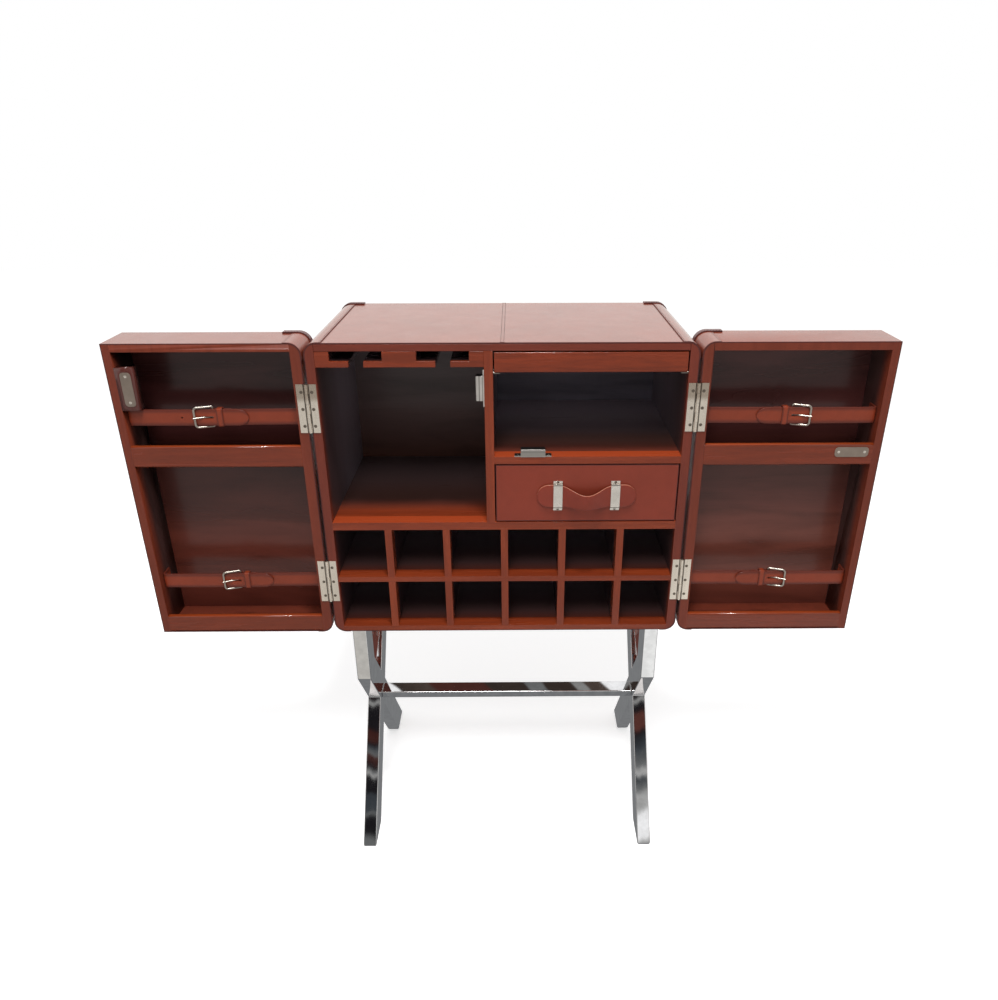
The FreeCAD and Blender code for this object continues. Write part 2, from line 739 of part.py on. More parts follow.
def drawer_box():
    x0, x1 = drawer_x()
    y0 = FRONT_Y + DRAWER_FACE + DRAWER_FRONT
    y1 = DRAWER_BACK_Y
    z_pair = (DRAWER_Z, DRAWER_Z + DRAWER_WALL_HEIGHT)
    left = box((x0, x0 + DRAWER_WALL), (y0, y1), z_pair)
    right = box((x1 - DRAWER_WALL, x1), (y0, y1), z_pair)
    back = box((x0 + DRAWER_WALL, x1 - DRAWER_WALL), (y1 - DRAWER_WALL, y1), z_pair)
    return [left, right, back]


def drawer_base():
    x0, x1 = drawer_x()
    y0 = FRONT_Y + DRAWER_FACE + DRAWER_FRONT
    low = DRAWER_Z + DRAWER_BASE_LIFT
    x_pair = (x0 + DRAWER_WALL, x1 - DRAWER_WALL)
    return [box(x_pair, (y0, DRAWER_BACK_Y - DRAWER_WALL), (low, low + DRAWER_BASE))]


def bow_curve(offset):
    # The strap's path seen from above: flat at both ends, bowed out between the brackets.
    half = (BRACKET_SPACING - BRACKET_WIDTH) / 2
    steps = (-1.0, -0.75, -0.5, -0.25, 0.0, 0.25, 0.5, 0.75, 1.0)
    points = []
    for share in steps:
        out = HANDLE_BOW * (1 + math.cos(math.pi * share)) / 2
        points.append(vec(HANDLE_X + share * half, FRONT_Y - offset - out, 0))
    curve = Part.BSplineCurve()
    curve.interpolate(Points=points, InitialTangent=X_AXIS, FinalTangent=X_AXIS)
    return curve.toShape(), points[0], points[-1]


def bowed_slab():
    left = HANDLE_X - HANDLE_LENGTH / 2
    right = HANDLE_X + HANDLE_LENGTH / 2
    near, near_start, near_end = bow_curve(0)
    far, far_start, far_end = bow_curve(HANDLE_THICK)
    low = vec(0, 0, BASE_Z + HANDLE_LIFT - HANDLE_HEIGHT / 2)
    corners = [vec(left, FRONT_Y, 0), vec(left, FRONT_Y - HANDLE_THICK, 0)]
    corners += [vec(right, FRONT_Y - HANDLE_THICK, 0), vec(right, FRONT_Y, 0)]
    edges = [
        Part.makeLine(corners[0], corners[1]),
        Part.makeLine(corners[1], far_start),
        far,
        Part.makeLine(far_end, corners[2]),
        Part.makeLine(corners[2], corners[3]),
        Part.makeLine(corners[3], near_end),
        near,
        Part.makeLine(near_start, corners[0]),
    ]
    face = Part.Face(Part.Wire(Part.__sortEdges__(edges)))
    slab = face.extrude(Z_AXIS * HANDLE_HEIGHT)
    slab.translate(low)
    return slab


def handle_outline():
    # Round lobes at the ends, and a top edge that dips to a waist in the middle.
    radius = HANDLE_HEIGHT / 2
    reach = HANDLE_LENGTH / 2 - radius
    middle_z = BASE_Z + HANDLE_LIFT
    shares = (-1.0, -0.75, -0.4, 0.0, 0.4, 0.75, 1.0)
    dips = (0.0, 0.1, 0.72, 1.0, 0.72, 0.1, 0.0)
    top = [
        vec(HANDLE_X + share * reach, 0, middle_z + radius - dip * HANDLE_DIP)
        for share, dip in zip(shares, dips)
    ]
    curve = Part.BSplineCurve()
    curve.interpolate(Points=top, InitialTangent=X_AXIS, FinalTangent=X_AXIS)
    low_left = vec(HANDLE_X - reach, 0, middle_z - radius)
    low_right = vec(HANDLE_X + reach, 0, middle_z - radius)
    left_tip = vec(HANDLE_X - reach - radius, 0, middle_z)
    right_tip = vec(HANDLE_X + reach + radius, 0, middle_z)
    edges = [
        curve.toShape(),
        Part.Arc(top[-1], right_tip, low_right).toShape(),
        Part.makeLine(low_right, low_left),
        Part.Arc(low_left, left_tip, top[0]).toShape(),
    ]
    return Part.Face(Part.Wire(Part.__sortEdges__(edges)))


def drawer_handle():
    reach = HANDLE_BOW + 2 * HANDLE_THICK
    blank = handle_outline()
    blank.translate(Y_AXIS * (FRONT_Y - reach))
    return [bowed_slab().common(blank.extrude(Y_AXIS * reach))]


def bracket_foot():
    return (BRACKET_HEIGHT - HANDLE_HEIGHT) / 2 - BRACKET_FIT - BRACKET_THICK


def handle_brackets():
    # A strip with a foot at each end and a bridge that holds the handle down.
    inner = FRONT_Y - HANDLE_THICK - BRACKET_FIT
    bridge = HANDLE_HEIGHT / 2 + BRACKET_FIT
    end = BRACKET_HEIGHT / 2
    upper = [(FRONT_Y, end), (FRONT_Y, bridge), (inner, bridge)]
    upper_outer = [(inner - BRACKET_THICK, bridge + BRACKET_THICK)]
    upper_outer += [(FRONT_Y - BRACKET_THICK, bridge + BRACKET_THICK), (FRONT_Y - BRACKET_THICK, end)]
    lower = [(y, -z) for y, z in reversed(upper)]
    lower_outer = [(y, -z) for y, z in upper_outer]
    points = upper + lower + list(reversed(lower_outer)) + upper_outer
    middle_z = BASE_Z + HANDLE_LIFT
    points = [(y, middle_z + z) for y, z in points]
    brackets = []
    for side in (-1, 1):
        x = HANDLE_X + side * BRACKET_SPACING / 2 - BRACKET_WIDTH / 2
        bracket = prism(points, [0] * len(points), "x", x, x + BRACKET_WIDTH)
        brackets.append(cut_all(bracket, holes_for(bracket_spots())))
    return brackets


# The serving slide


def slide_front():
    y_pair = (FRONT_Y, FRONT_Y + SLIDE_FRONT)
    return [box(drawer_x(), y_pair, (SLIDE_Z, SLIDE_Z + SLIDE_FRONT_HEIGHT))]


def slide_board():
    y_pair = (FRONT_Y + SLIDE_FRONT, SLIDE_BACK_Y)
    return [box(drawer_x(), y_pair, (SLIDE_BOARD_Z, SLIDE_BOARD_Z + SLIDE_BOARD))]


# The left door; the right door is its mirror image, but for the strike plate


def door_x(u):
    # u is counted from the door's hinge side to its free edge.
    return -(HALF_X + HINGE_GAP + u)


def door_block(inset, free_inset, y_pair):
    x_pair = (door_x(DOOR_WIDTH - free_inset), door_x(inset))
    points = rectangle(x_pair, (BASE_Z + inset, TOP_Z - inset))
    radius = EDGE_RADIUS - inset
    return prism(points, [0, radius, radius, 0], "y", y_pair[0], y_pair[1])


def door_inner_x():
    return door_x(DOOR_WIDTH - DOOR_FREE_WALL), door_x(DOOR_HINGE_WALL)


def door_board(x_pair, z_pair):
    shell = door_block(COVER, SKIN, (FRONT_Y, DOOR_PANEL_Y))
    return shell.common(box(x_pair, (FRONT_Y, DOOR_PANEL_Y), z_pair))


def door_frame():
    far, near = door_inner_x()
    hinge_wall = door_board((near, door_x(0)), (BASE_Z, TOP_Z))
    tools = knuckle_relief() + leaf_boxes(-1) + holes_for(leaf_screw_spots(-1) + strap_tab_spots())
    hinge_wall = cut_all(hinge_wall, tools)
    free_wall = cut_all(door_board((door_x(DOOR_WIDTH), far), (BASE_Z, TOP_Z)), holes_for(strap_tab_spots()))
    top = door_board((far, near), (CEILING_Z, TOP_Z))
    bottom = door_board((far, near), (BASE_Z, FLOOR_Z))
    bottom = bottom.cut(box((far, near), (FRONT_Y, FRONT_Y + RAIL_THICK), (BASE_Z, FLOOR_Z)))
    return [hinge_wall, free_wall, top, bottom]


def door_panel():
    return [door_block(COVER, SKIN, (DOOR_PANEL_Y, DOOR_OUTER_Y - SKIN))]


def door_shelf():
    y_pair = (FRONT_Y + RAIL_THICK, DOOR_PANEL_Y)
    return [box(door_inner_x(), y_pair, (DOOR_SHELF_Z, DOOR_SHELF_TOP_Z))]


def strike_plate_box(strike):
    # The plate of one door, on the left door's side of the mirror.
    spots = left_strike_spots() if strike == "upright" else right_strike_spots()
    middle = (spots[0][0] + spots[1][0]) / 2
    half = (STRIKE_LENGTH / 2, STRIKE_WIDTH / 2)
    du, dv = reversed(half) if strike == "upright" else half
    points = rectangle((middle.x - du, middle.x + du), (middle.z - dv, middle.z + dv))
    start = FRONT_Y - STRIKE_PROUD
    radii = [STRIKE_ROUND, STRIKE_ROUND, STRIKE_ROUND, STRIKE_ROUND]
    return prism(points, radii, "y", start, start + STRIKE_THICK), spots


def door_rails(strike):
    # The fascia of the shelf, the lip at the foot and, on the left door, the strike block.
    y_pair = (FRONT_Y, FRONT_Y + RAIL_THICK)
    fascia = box(door_inner_x(), y_pair, (DOOR_SHELF_Z, DOOR_SHELF_Z + FASCIA_HEIGHT))
    lip = box(door_inner_x(), y_pair, (BASE_Z, BASE_Z + LIP_HEIGHT))
    lip = lip.common(door_block(COVER, SKIN, y_pair))
    rails = [fascia, lip]
    if strike == "upright":
        far = door_inner_x()[0]
        half = STRIKE_BLOCK_HEIGHT / 2
        y_pair = (FRONT_Y, FRONT_Y + STRIKE_BLOCK_DEPTH)
        z_pair = (LEFT_CATCH_Z - half, LEFT_CATCH_Z + half)
        rails.append(box((far, far + STRIKE_BLOCK_WIDTH), y_pair, z_pair))
    plate, spots = strike_plate_box(strike)
    tools = [plate] + holes_for(spots)
    return [cut_all(rail, tools) for rail in rails]


def strike_plate(strike):
    plate, spots = strike_plate_box(strike)
    return [cut_all(plate, holes_for(spots))]


def door_leather():
    y_pair = (FRONT_Y, DOOR_OUTER_Y - SKIN)
    ring = door_block(BAND, 0, y_pair).cut(door_block(COVER, SKIN, y_pair))
    ring = cut_all(ring, knuckle_relief() + leaf_boxes(-1))
    panel = door_block(BAND, 0, (DOOR_OUTER_Y - SKIN, DOOR_OUTER_Y))
    return [ring, panel] + door_bands()


def door_bands():
    y_pair = (FRONT_Y, DOOR_OUTER_Y)
    ring = door_block(0, 0, y_pair).cut(door_block(BAND, 0, y_pair))
    x_pair = (door_x(BAND_WIDTH), door_x(0))
    top = ring.common(box(x_pair, y_pair, (TOP_Z - BAND_WIDTH, TOP_Z)))
    bottom = ring.common(box(x_pair, y_pair, (BASE_Z, BASE_Z + BAND_WIDTH)))
    return [top, bottom]


def door_caps():
    bands = door_bands()
    grown = door_block(-CAP, 0, (DOOR_OUTER_Y - CAP_RIM, DOOR_OUTER_Y + CAP))
    core = door_block(BAND, 0, (FRONT_Y, DOOR_OUTER_Y)).fuse(bands)
    corners = [vec(door_x(0), DOOR_OUTER_Y, TOP_Z), vec(door_x(0), DOOR_OUTER_Y, BASE_Z)]
    return corner_caps(core, grown, corners)


def strap_band(u_pair, y_pair, z, width):
    half = width / 2
    return box((door_x(u_pair[0]), door_x(u_pair[1])), y_pair, (z - half, z + half))


def billet(z):
    # The long end: from the free wall, under the buckle's bar, through the keeper to its tip.
    end = DOOR_WIDTH - DOOR_FREE_WALL
    half = STRAP_WIDTH / 2
    shoulder = TIP_U + half
    points = [(door_x(end), z - half), (door_x(shoulder), z - half), (door_x(TIP_U), z)]
    points += [(door_x(shoulder), z + half), (door_x(end), z + half)]
    radii = [0, STRAP_TIP_ROUND, STRAP_TIP_ROUND / 2, STRAP_TIP_ROUND, 0]
    shape = prism(points, radii, "y", STRAP_Y, UNDER_Y)
    tab = strap_band((end - STRAP_THICK, end), (UNDER_Y, UNDER_Y + STRAP_TAB), z, STRAP_WIDTH)
    slot_pair = (HEEL_U - PRONG_SLOT_START, HEEL_U + PRONG_SLOT_END)
    slot = strap_band(slot_pair, (STRAP_Y, UNDER_Y), z, 2 * (PRONG_RADIUS + PRONG_SLOT))
    return cut_all(shape.fuse(tab).removeSplitter(), [slot] + holes_for(strap_tab_spots()))


def buckle_strap(z):
    # The short end: from the hinge wall to a loop round the buckle's heel bar.
    start = DOOR_HINGE_WALL
    half = STRAP_WIDTH / 2
    band = strap_band((start, HEEL_U), (UNDER_Y, FOLD_Y), z, STRAP_WIDTH)
    tab = strap_band((start, start + STRAP_THICK), (FOLD_Y, UNDER_Y + STRAP_TAB), z, STRAP_WIDTH)
    fold = strap_band((HEEL_U - STRAP_FOLD, HEEL_U), (FOLD_Y, FOLD_Y + FOLD_THICK), z, STRAP_WIDTH)
    foot = vec(door_x(HEEL_U), HEEL_Y, z - half)
    loop = Part.makeCylinder(LOOP_RADIUS, STRAP_WIDTH, foot, Z_AXIS)
    hole = Part.makeCylinder(BUCKLE_WIRE + LOOP_FIT, STRAP_WIDTH, foot, Z_AXIS)
    shape = band.fuse([tab, fold, loop]).cut(hole)
    reach = LOOP_RADIUS + EYE_SLOT
    room = (HEEL_U - reach, HEEL_U + reach)
    eye = strap_band(room, (UNDER_Y, HEEL_Y + reach), z, PRONG_EYE_HEIGHT + 2 * EYE_SLOT)
    return cut_all(shape.removeSplitter(), [eye] + holes_for(strap_tab_spots()))


def keeper(z):
    pair = (KEEPER_U - KEEPER_LENGTH / 2, KEEPER_U + KEEPER_LENGTH / 2)
    front = STRAP_Y - KEEPER_FIT
    back = FOLD_Y + FOLD_THICK + KEEPER_FIT
    inner = STRAP_WIDTH + 2 * KEEPER_FIT
    outer = strap_band(pair, (front - KEEPER_THICK, back + KEEPER_THICK), z, inner + 2 * KEEPER_THICK)
    return outer.cut(strap_band(pair, (front, back), z, inner))


def door_straps():
    pieces = []
    for z in STRAP_HEIGHTS:
        pieces.extend([billet(z), buckle_strap(z), keeper(z)])
    return pieces


def buckle_frame(z):
    # A round wire bent to a rectangle, tilted from the heel bar up to the front bar.
    reach = BUCKLE_REACH
    half = BUCKLE_HEIGHT / 2 - BUCKLE_WIRE

    def place(a, b):
        x = door_x(HEEL_U + a * math.cos(BUCKLE_TILT))
        return vec(x, HEEL_Y - a * math.sin(BUCKLE_TILT), z + b)

    points = [(0, -half), (reach, -half), (reach, half), (0, half)]
    radii = [BUCKLE_HEEL_CORNER, BUCKLE_CORNER, BUCKLE_CORNER, BUCKLE_HEEL_CORNER]
    path = outline(points, radii, place)
    start = path.Edges[1]
    tangent = start.tangentAt(start.FirstParameter)
    ring = Part.Wire([Part.makeCircle(BUCKLE_WIRE, start.valueAt(start.FirstParameter), tangent)])
    turned = Part.Wire(path.Edges[1:] + path.Edges[:1])
    return turned.makePipeShell([ring], True, False)


def buckle_frames():
    return [buckle_frame(z) for z in STRAP_HEIGHTS]


def prong(z):
    half = PRONG_EYE_HEIGHT / 2
    over = math.asin((BUCKLE_WIRE + PRONG_LIFT + PRONG_RADIUS) / BUCKLE_REACH)
    angle = BUCKLE_TILT + over
    heading = vec(-math.cos(angle), -math.sin(angle), 0)
    heel = vec(door_x(HEEL_U), HEEL_Y, z)
    length = BUCKLE_REACH * math.cos(over) + PRONG_PAST_BAR
    arm = Part.makeCylinder(PRONG_RADIUS, length, heel, heading)
    tip = Part.makeSphere(PRONG_RADIUS, heel + heading * length)
    eye = Part.makeCylinder(PRONG_EYE, PRONG_EYE_HEIGHT, heel - Z_AXIS * half, Z_AXIS)
    hole = Part.makeCylinder(BUCKLE_WIRE + RUNNING_FIT, PRONG_EYE_HEIGHT, heel - Z_AXIS * half, Z_AXIS)
    return [eye.fuse([arm, tip]).cut(hole).removeSplitter()]


def save_body():
    bottom, bottom_lipping = carcass_bottom()
    wall, wall_lipping = partition()
    main, main_lipping = main_shelf()
    low, low_lipping = bottle_shelf()
    high, high_lipping = drawer_shelf()
    dividers, divider_lippings = bottle_dividers()
    lippings = bottom_lipping + [wall_lipping, main_lipping, low_lipping, high_lipping]
    save("carcass_sides", carcass_sides())
    save("carcass_top", carcass_top())
    save("carcass_bottom", bottom)
    save("back_panel", back_panel())
    save("centre_partition", [wall])
    save("main_shelf", [main])
    save("bottle_shelf", [low])
    save("drawer_shelf", [high])
    save("bottle_dividers", dividers)
    save("front_lippings", lippings + divider_lippings)
    save("glass_rails", glass_rails())
    save("wood_runners", slide_runners() + drawer_slips())
    save("slide_pins", slide_pins())


def save_cover():
    cover = leather_cover()
    bands = leather_bands()
    save("leather_cover", cover)
    save("leather_bands", bands)
    save("corner_caps", body_caps(cover, bands))


def save_metal():
    leaf_screws = [screw(*spot) for spot in leaf_screw_spots(1)]
    catch_screws = [screw(*spot) for spot in left_catch_spots() + right_catch_spots()]
    stand_screws = [screw(*spot) for spot in stand_screw_spots()]
    save("magnet_catches", magnet_catches())
    save("body_hinge_leaves", both_sides(hinge_leaves(1) + hinge_pins()))
    save("body_screws", both_sides(leaf_screws) + catch_screws)
    save("leg_frame_left", [leg_frame()])
    save("leg_frame_right", [mirrored(leg_frame())])
    save("stretcher", stretcher())
    save("mounting_plates", mounting_plates())
    save("foot_glides", foot_glides())
    save("stand_screws", both_sides(stand_screws))


def save_drawer_and_slide():
    face, front = drawer_front()
    save("drawer_face", face)
    save("drawer_front", front)
    save("drawer_box", drawer_box() + drawer_base())
    save("drawer_handle", drawer_handle())
    save("handle_brackets", handle_brackets())
    save("handle_screws", [screw(*spot) for spot in bracket_spots()])
    save("slide_front", slide_front())
    save("slide_board", slide_board())


def save_door(name, strike, turn):
    spots = left_strike_spots() if strike == "upright" else right_strike_spots()
    screws = [screw(*spot) for spot in leaf_screw_spots(-1) + strap_tab_spots() + spots]
    low, high = STRAP_HEIGHTS
    pieces = {
        "frame": door_frame(),
        "panel": door_panel(),
        "shelf": door_shelf(),
        "rails": door_rails(strike),
        "leather": door_leather(),
        "caps": door_caps(),
        "hinge_leaves": hinge_leaves(-1),
        "strike_plate": strike_plate(strike),
        "screws": screws,
        "straps": door_straps(),
        "buckles": buckle_frames(),
        "prong_lower": prong(low),
        "prong_upper": prong(high),
    }
    for piece, shapes in pieces.items():
        save(name + "_" + piece, [turn(shape) for shape in shapes])


os.makedirs("parts", exist_ok=True)
save_body()
save_cover()
save_metal()
save_drawer_and_slide()
save_door("left_door", "upright", lambda shape: shape)
save_door("right_door", "level", mirrored)
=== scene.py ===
import bpy
import bmesh
import numpy as np
from math import pi, radians
from mathutils import Euler, Matrix, Vector


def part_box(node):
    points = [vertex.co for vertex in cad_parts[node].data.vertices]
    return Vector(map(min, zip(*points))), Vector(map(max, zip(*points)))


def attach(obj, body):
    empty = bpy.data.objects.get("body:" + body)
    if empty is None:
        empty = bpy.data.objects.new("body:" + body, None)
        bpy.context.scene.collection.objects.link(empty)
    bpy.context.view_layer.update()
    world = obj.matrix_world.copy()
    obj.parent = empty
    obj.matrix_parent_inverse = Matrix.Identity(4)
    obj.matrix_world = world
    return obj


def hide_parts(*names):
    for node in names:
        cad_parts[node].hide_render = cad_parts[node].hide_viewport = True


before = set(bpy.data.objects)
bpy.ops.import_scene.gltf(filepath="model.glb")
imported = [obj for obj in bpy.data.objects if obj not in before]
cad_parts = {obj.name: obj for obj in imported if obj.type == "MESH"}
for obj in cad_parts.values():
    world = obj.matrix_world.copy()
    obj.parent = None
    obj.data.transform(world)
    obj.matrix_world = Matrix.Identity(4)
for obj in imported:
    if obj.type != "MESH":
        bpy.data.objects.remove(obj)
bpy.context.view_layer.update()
mm = 0.001


# Camera

cameraView = {
    "place": (0.0182, -1.3126, 1.2545),
    "pitchDown": 24.87,
    "yawRight": 0.4,
    "rollRight": 0.09,
    "sensor": 36.0,
    "focalPixels": 792.9,
    "axisPixel": (519.9, 500.8),
    "imagePixels": (998, 1000),
}


def makeCamera(view):
    # a pinhole camera: the picture's middle is shifted off its axis, and it is turned down, right and over
    lens = bpy.data.cameras.new("photoCamera")
    width, height = view["imagePixels"]
    longSide = max(width, height)
    lens.sensor_width = view["sensor"]
    lens.lens = view["focalPixels"] * view["sensor"] / longSide
    lens.shift_x = (width / 2 - view["axisPixel"][0]) / longSide
    lens.shift_y = (view["axisPixel"][1] - height / 2) / longSide
    camera = bpy.data.objects.new("photoCamera", lens)
    bpy.context.collection.objects.link(camera)
    tilt = Euler((radians(90 - view["pitchDown"]), 0, radians(-view["yawRight"]))).to_matrix()
    turn = tilt @ Matrix.Rotation(radians(-view["rollRight"]), 3, "Z")
    camera.matrix_world = Matrix.Translation(view["place"]) @ turn.to_4x4()
    bpy.context.scene.camera = camera


# Shader maths: a Value is one socket, and + - * ** and abs on it add Math nodes

class Value:
    def __init__(self, paint, socket):
        self.paint = paint
        self.socket = socket

    def maths(self, operation, *inputs):
        return self.paint.node("ShaderNodeMath", {"operation": operation}, *inputs)

    def __add__(self, other):
        return self.maths("ADD", self, other)

    def __sub__(self, other):
        return self.maths("SUBTRACT", self, other)

    def __rsub__(self, other):
        return self.maths("SUBTRACT", other, self)

    def __mul__(self, other):
        return self.maths("MULTIPLY", self, other)

    def __pow__(self, other):
        return self.maths("POWER", self, other)

    def __abs__(self):
        return self.maths("ABSOLUTE", self)

    def largest(self, other):
        return self.maths("MAXIMUM", self, other)

    __radd__ = __add__
    __rmul__ = __mul__


class Paint:
    # one material or world, its nodes and links
    def __init__(self, owner):
        self.owner = owner
        owner.use_nodes = True
        self.nodes = owner.node_tree.nodes
        self.links = owner.node_tree.links

    def node(self, kind, settings=None, *inputs, output=0, **named):
        made = self.nodes.new(kind)
        for key, value in (settings or {}).items():
            if key == "stops":
                self.setStops(made.color_ramp, value)
            else:
                setattr(made, key, value)
        for socket, value in zip(made.inputs, inputs):
            self.feed(socket, value)
        for key, value in named.items():
            self.feed(made.inputs[key], value)
        return Value(self, made.outputs[output])

    def setStops(self, ramp, stops):
        while len(ramp.elements) < len(stops):
            ramp.elements.new(1.0)
        for element, (place, colour) in zip(ramp.elements, stops):
            element.position = place
            element.color = (*colour, 1.0)

    def feed(self, socket, value):
        # colours are written as three numbers, and None leaves a socket as it is
        if isinstance(value, Value):
            self.links.new(value.socket, socket)
        elif value is not None:
            socket.default_value = (*value, 1.0) if socket.type == "RGBA" else value

    def place(self, stretch=(1, 1, 1), attribute=None):
        if attribute:
            start = self.node("ShaderNodeAttribute", {"attribute_name": attribute}, output="Vector")
        else:
            start = self.node("ShaderNodeTexCoord", output="Object")
        return self.node("ShaderNodeMapping", None, start, None, None, stretch)

    def along(self, axis):
        where = self.node("ShaderNodeTexCoord", output="Object")
        return self.node("ShaderNodeSeparateXYZ", None, where, output=axis)

    def own(self, name):
        return self.node("ShaderNodeAttribute", {"attribute_name": name}, output="Fac")

    def noise(self, where, scale, detail=3.0, roughness=0.5, distortion=0.0):
        return self.node("ShaderNodeTexNoise", None, Vector=where, Scale=scale, Detail=detail,
                         Roughness=roughness, Distortion=distortion)

    def cells(self, where, scale):
        return self.node("ShaderNodeTexVoronoi", {"feature": "DISTANCE_TO_EDGE"}, Vector=where, Scale=scale)

    def smooth(self, value, low, high, kind="SMOOTHSTEP"):
        # 0 at low and 1 at high
        return self.node("ShaderNodeMapRange", {"interpolation_type": kind}, value, low, high, 0.0, 1.0)

    def ramp(self, value, stops):
        return self.node("ShaderNodeValToRGB", {"stops": stops}, value)

    def blend(self, share, first, second):
        # a Mix node's colours are its inputs 6 and 7, and its mixed colour is output 2
        return self.node("ShaderNodeMix", {"data_type": "RGBA"}, share, *[None] * 5, first, second, output=2)

    def line(self, value, place, half):
        # 1 within half of a place and 0 beyond it, with a soft edge
        return 1 - self.smooth(abs(value - place), 0.5 * half, half)

    def any(self, masks):
        joined = masks[0]
        for mask in masks[1:]:
            joined = joined.largest(mask)
        return joined

    def finish(self, colour=None, roughness=None, height=None, **fixed):
        # the height is in millimetres
        surface = self.nodes["Principled BSDF"]
        self.feed(surface.inputs["Base Color"], colour)
        self.feed(surface.inputs["Roughness"], roughness)
        for name, value in fixed.items():
            self.feed(surface.inputs[name], value)
        if height is not None:
            bump = self.node("ShaderNodeBump", None, Strength=1.0, Distance=mm, Height=height)
            self.feed(surface.inputs["Normal"], bump)
        return self.owner


def newPaint(name):
    return Paint(bpy.data.materials.new(name))


def shade(colour, share):
    return tuple(channel * share for channel in colour)


def coated(coat, coatGloss, specular):
    # a polish over the colour
    return {"Coat Weight": coat, "Coat Roughness": coatGloss, "Specular IOR Level": specular}


# Leather

leatherFinish = {
    "patch": 7.0,
    "fleck": 60.0,
    "pebble": 1050.0,
    "crease": 420.0,
    "crinkle": 190.0,
    "haze": 25.0,
    "warmth": (1.0, 0.6, 0.3),
    "pebbleDepth": 0.05,
    "creaseDepth": 0.08,
    "lineHalf": 1.0 * mm,
    "borderHalf": 1.6 * mm,
    "cutFade": 1.5 * mm,
    "grooveShadeAndCutEdgeTone": (0.062, 0.015, 0.013),
    "coatGloss": 0.17,
    "specular": 0.2,
}


def leather(name, colour, gloss, coat, edge=None, mottle=0.14, lines=(), border=(), cutEdge=None,
            crinkle=0.0):
    # colour drifts in broad patches and fine flecks, and cell edges and noise give the pebbled grain.
    # The leather is sunk, rougher, less polished and darker at the places of lines, along |x|, and at the
    # (axis, place) pairs of border: painted shade in the grooves at the band edges and beside the drawer
    # face's gap. It is darker in the same way in front of cutEdge, on the front cut edges. edge is the tone
    # of a strap's cut edges.
    look = leatherFinish
    paint = newPaint(name)
    where = paint.place()
    patch = paint.noise(where, look["patch"])
    fleck = paint.noise(where, look["fleck"], 4.0, 0.6)
    drift = paint.smooth(patch * 0.65 + fleck * 0.35, 0.3, 0.7)
    warm = [channel * (1 + share * mottle) for channel, share in zip(colour, look["warmth"])]
    tone = paint.blend(drift, shade(colour, 1 - mottle), warm)
    grain = paint.smooth(paint.cells(where, look["pebble"]), 0.0, 0.25)
    crease = paint.noise(where, look["crease"], 2.0)
    tone = paint.blend((1 - grain) * 0.25, tone, shade(colour, 0.55))
    if edge is not None:
        tone = paint.blend(paint.smooth(paint.own("rim"), 0.35, 0.9), tone, edge)
    rough = paint.noise(where, look["haze"]) * 0.16 + (gloss - 0.08)
    height = grain * look["pebbleDepth"] + crease * look["creaseDepth"]
    if crinkle:
        height = height + paint.noise(where, look["crinkle"], 3.0, 0.6) * crinkle
    across = abs(paint.along(0))
    masks = [paint.line(across, place, look["lineHalf"]) * 0.8 for place in lines]
    masks += [paint.line(paint.along(axis), place, look["borderHalf"]) for axis, place in border]
    if cutEdge is not None:
        masks.append(1 - paint.smooth(paint.along(1), cutEdge, cutEdge + look["cutFade"]))
    if masks:
        # painted shade in the grooves and beside the drawer face's gap, and darker front cut edges
        grooveShadeAndCutEdge = paint.any(masks)
        tone = paint.blend(grooveShadeAndCutEdge * 0.95, tone, look["grooveShadeAndCutEdgeTone"])
        rough = rough + grooveShadeAndCutEdge * 0.3
        height = height - grooveShadeAndCutEdge * 0.3
        coat = (1 - grooveShadeAndCutEdge) * coat
    return paint.finish(tone, rough, height, **coated(coat, look["coatGloss"], look["specular"]))


bodyLow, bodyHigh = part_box("leather_bands")
faceLow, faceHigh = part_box("drawer_face")
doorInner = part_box("right_door_leather")[0].x
bodyFront = bodyLow.y
bandWidth = 27.5 * mm
bandEdge = bodyHigh.x - bandWidth
hingeAxis = (bodyHigh.x + doorInner) / 2
strongLeather = {"gloss": 0.34, "coat": 1.0}
softLeather = {"gloss": 0.36, "coat": 0.2}
capLeather = {"colour": (0.075, 0.017, 0.019), "gloss": 0.4, "coat": 0.6, "crinkle": 0.5}

# lines and border place painted shade in the grooves at the band edges and beside the drawer face's gap
leathers = {
    "coverLeather": dict(strongLeather, colour=(0.20, 0.036, 0.014), cutEdge=bodyFront + 2 * mm,
                         lines=(bandEdge - 0.9 * mm,)),
    "bandLeather": dict(strongLeather, colour=(0.18, 0.033, 0.014), cutEdge=bodyFront + 2 * mm,
                        lines=(bandEdge + 0.3 * mm,)),
    "doorLeather": dict(colour=(0.19, 0.034, 0.014), gloss=0.34, coat=0.9, cutEdge=bodyFront + mm,
                        lines=(doorInner + bandWidth,)),
    "capLeather": dict(capLeather, cutEdge=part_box("corner_caps")[0].y + 0.5 * mm),
    "doorCapLeather": dict(capLeather, cutEdge=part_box("left_door_caps")[0].y + 0.5 * mm),
    "drawerLeather": dict(colour=(0.192, 0.030, 0.015), gloss=0.4, coat=0.1, mottle=0.1,
                          border=((0, faceLow.x), (0, faceHigh.x), (2, faceLow.z), (2, faceHigh.z))),
    "handleLeather": dict(softLeather, colour=(0.185, 0.027, 0.014), edge=(0.34, 0.13, 0.08)),
    "strapLeather": dict(softLeather, colour=(0.215, 0.034, 0.012), edge=(0.10, 0.018, 0.010)),
    "thread": dict(colour=(0.055, 0.016, 0.012), gloss=0.55, coat=0.0),
}


# Wood

woodFinish = {
    "acrossGrain": 14.0,
    "figure": 4.0,
    "streaks": 15.0,
    "pores": 70.0,
    "poreShare": 0.3,
    "topFade": 5 * mm,
    "aboveFade": 15 * mm,
    "farBefore": 37 * mm,
    "specular": 0.2,
}


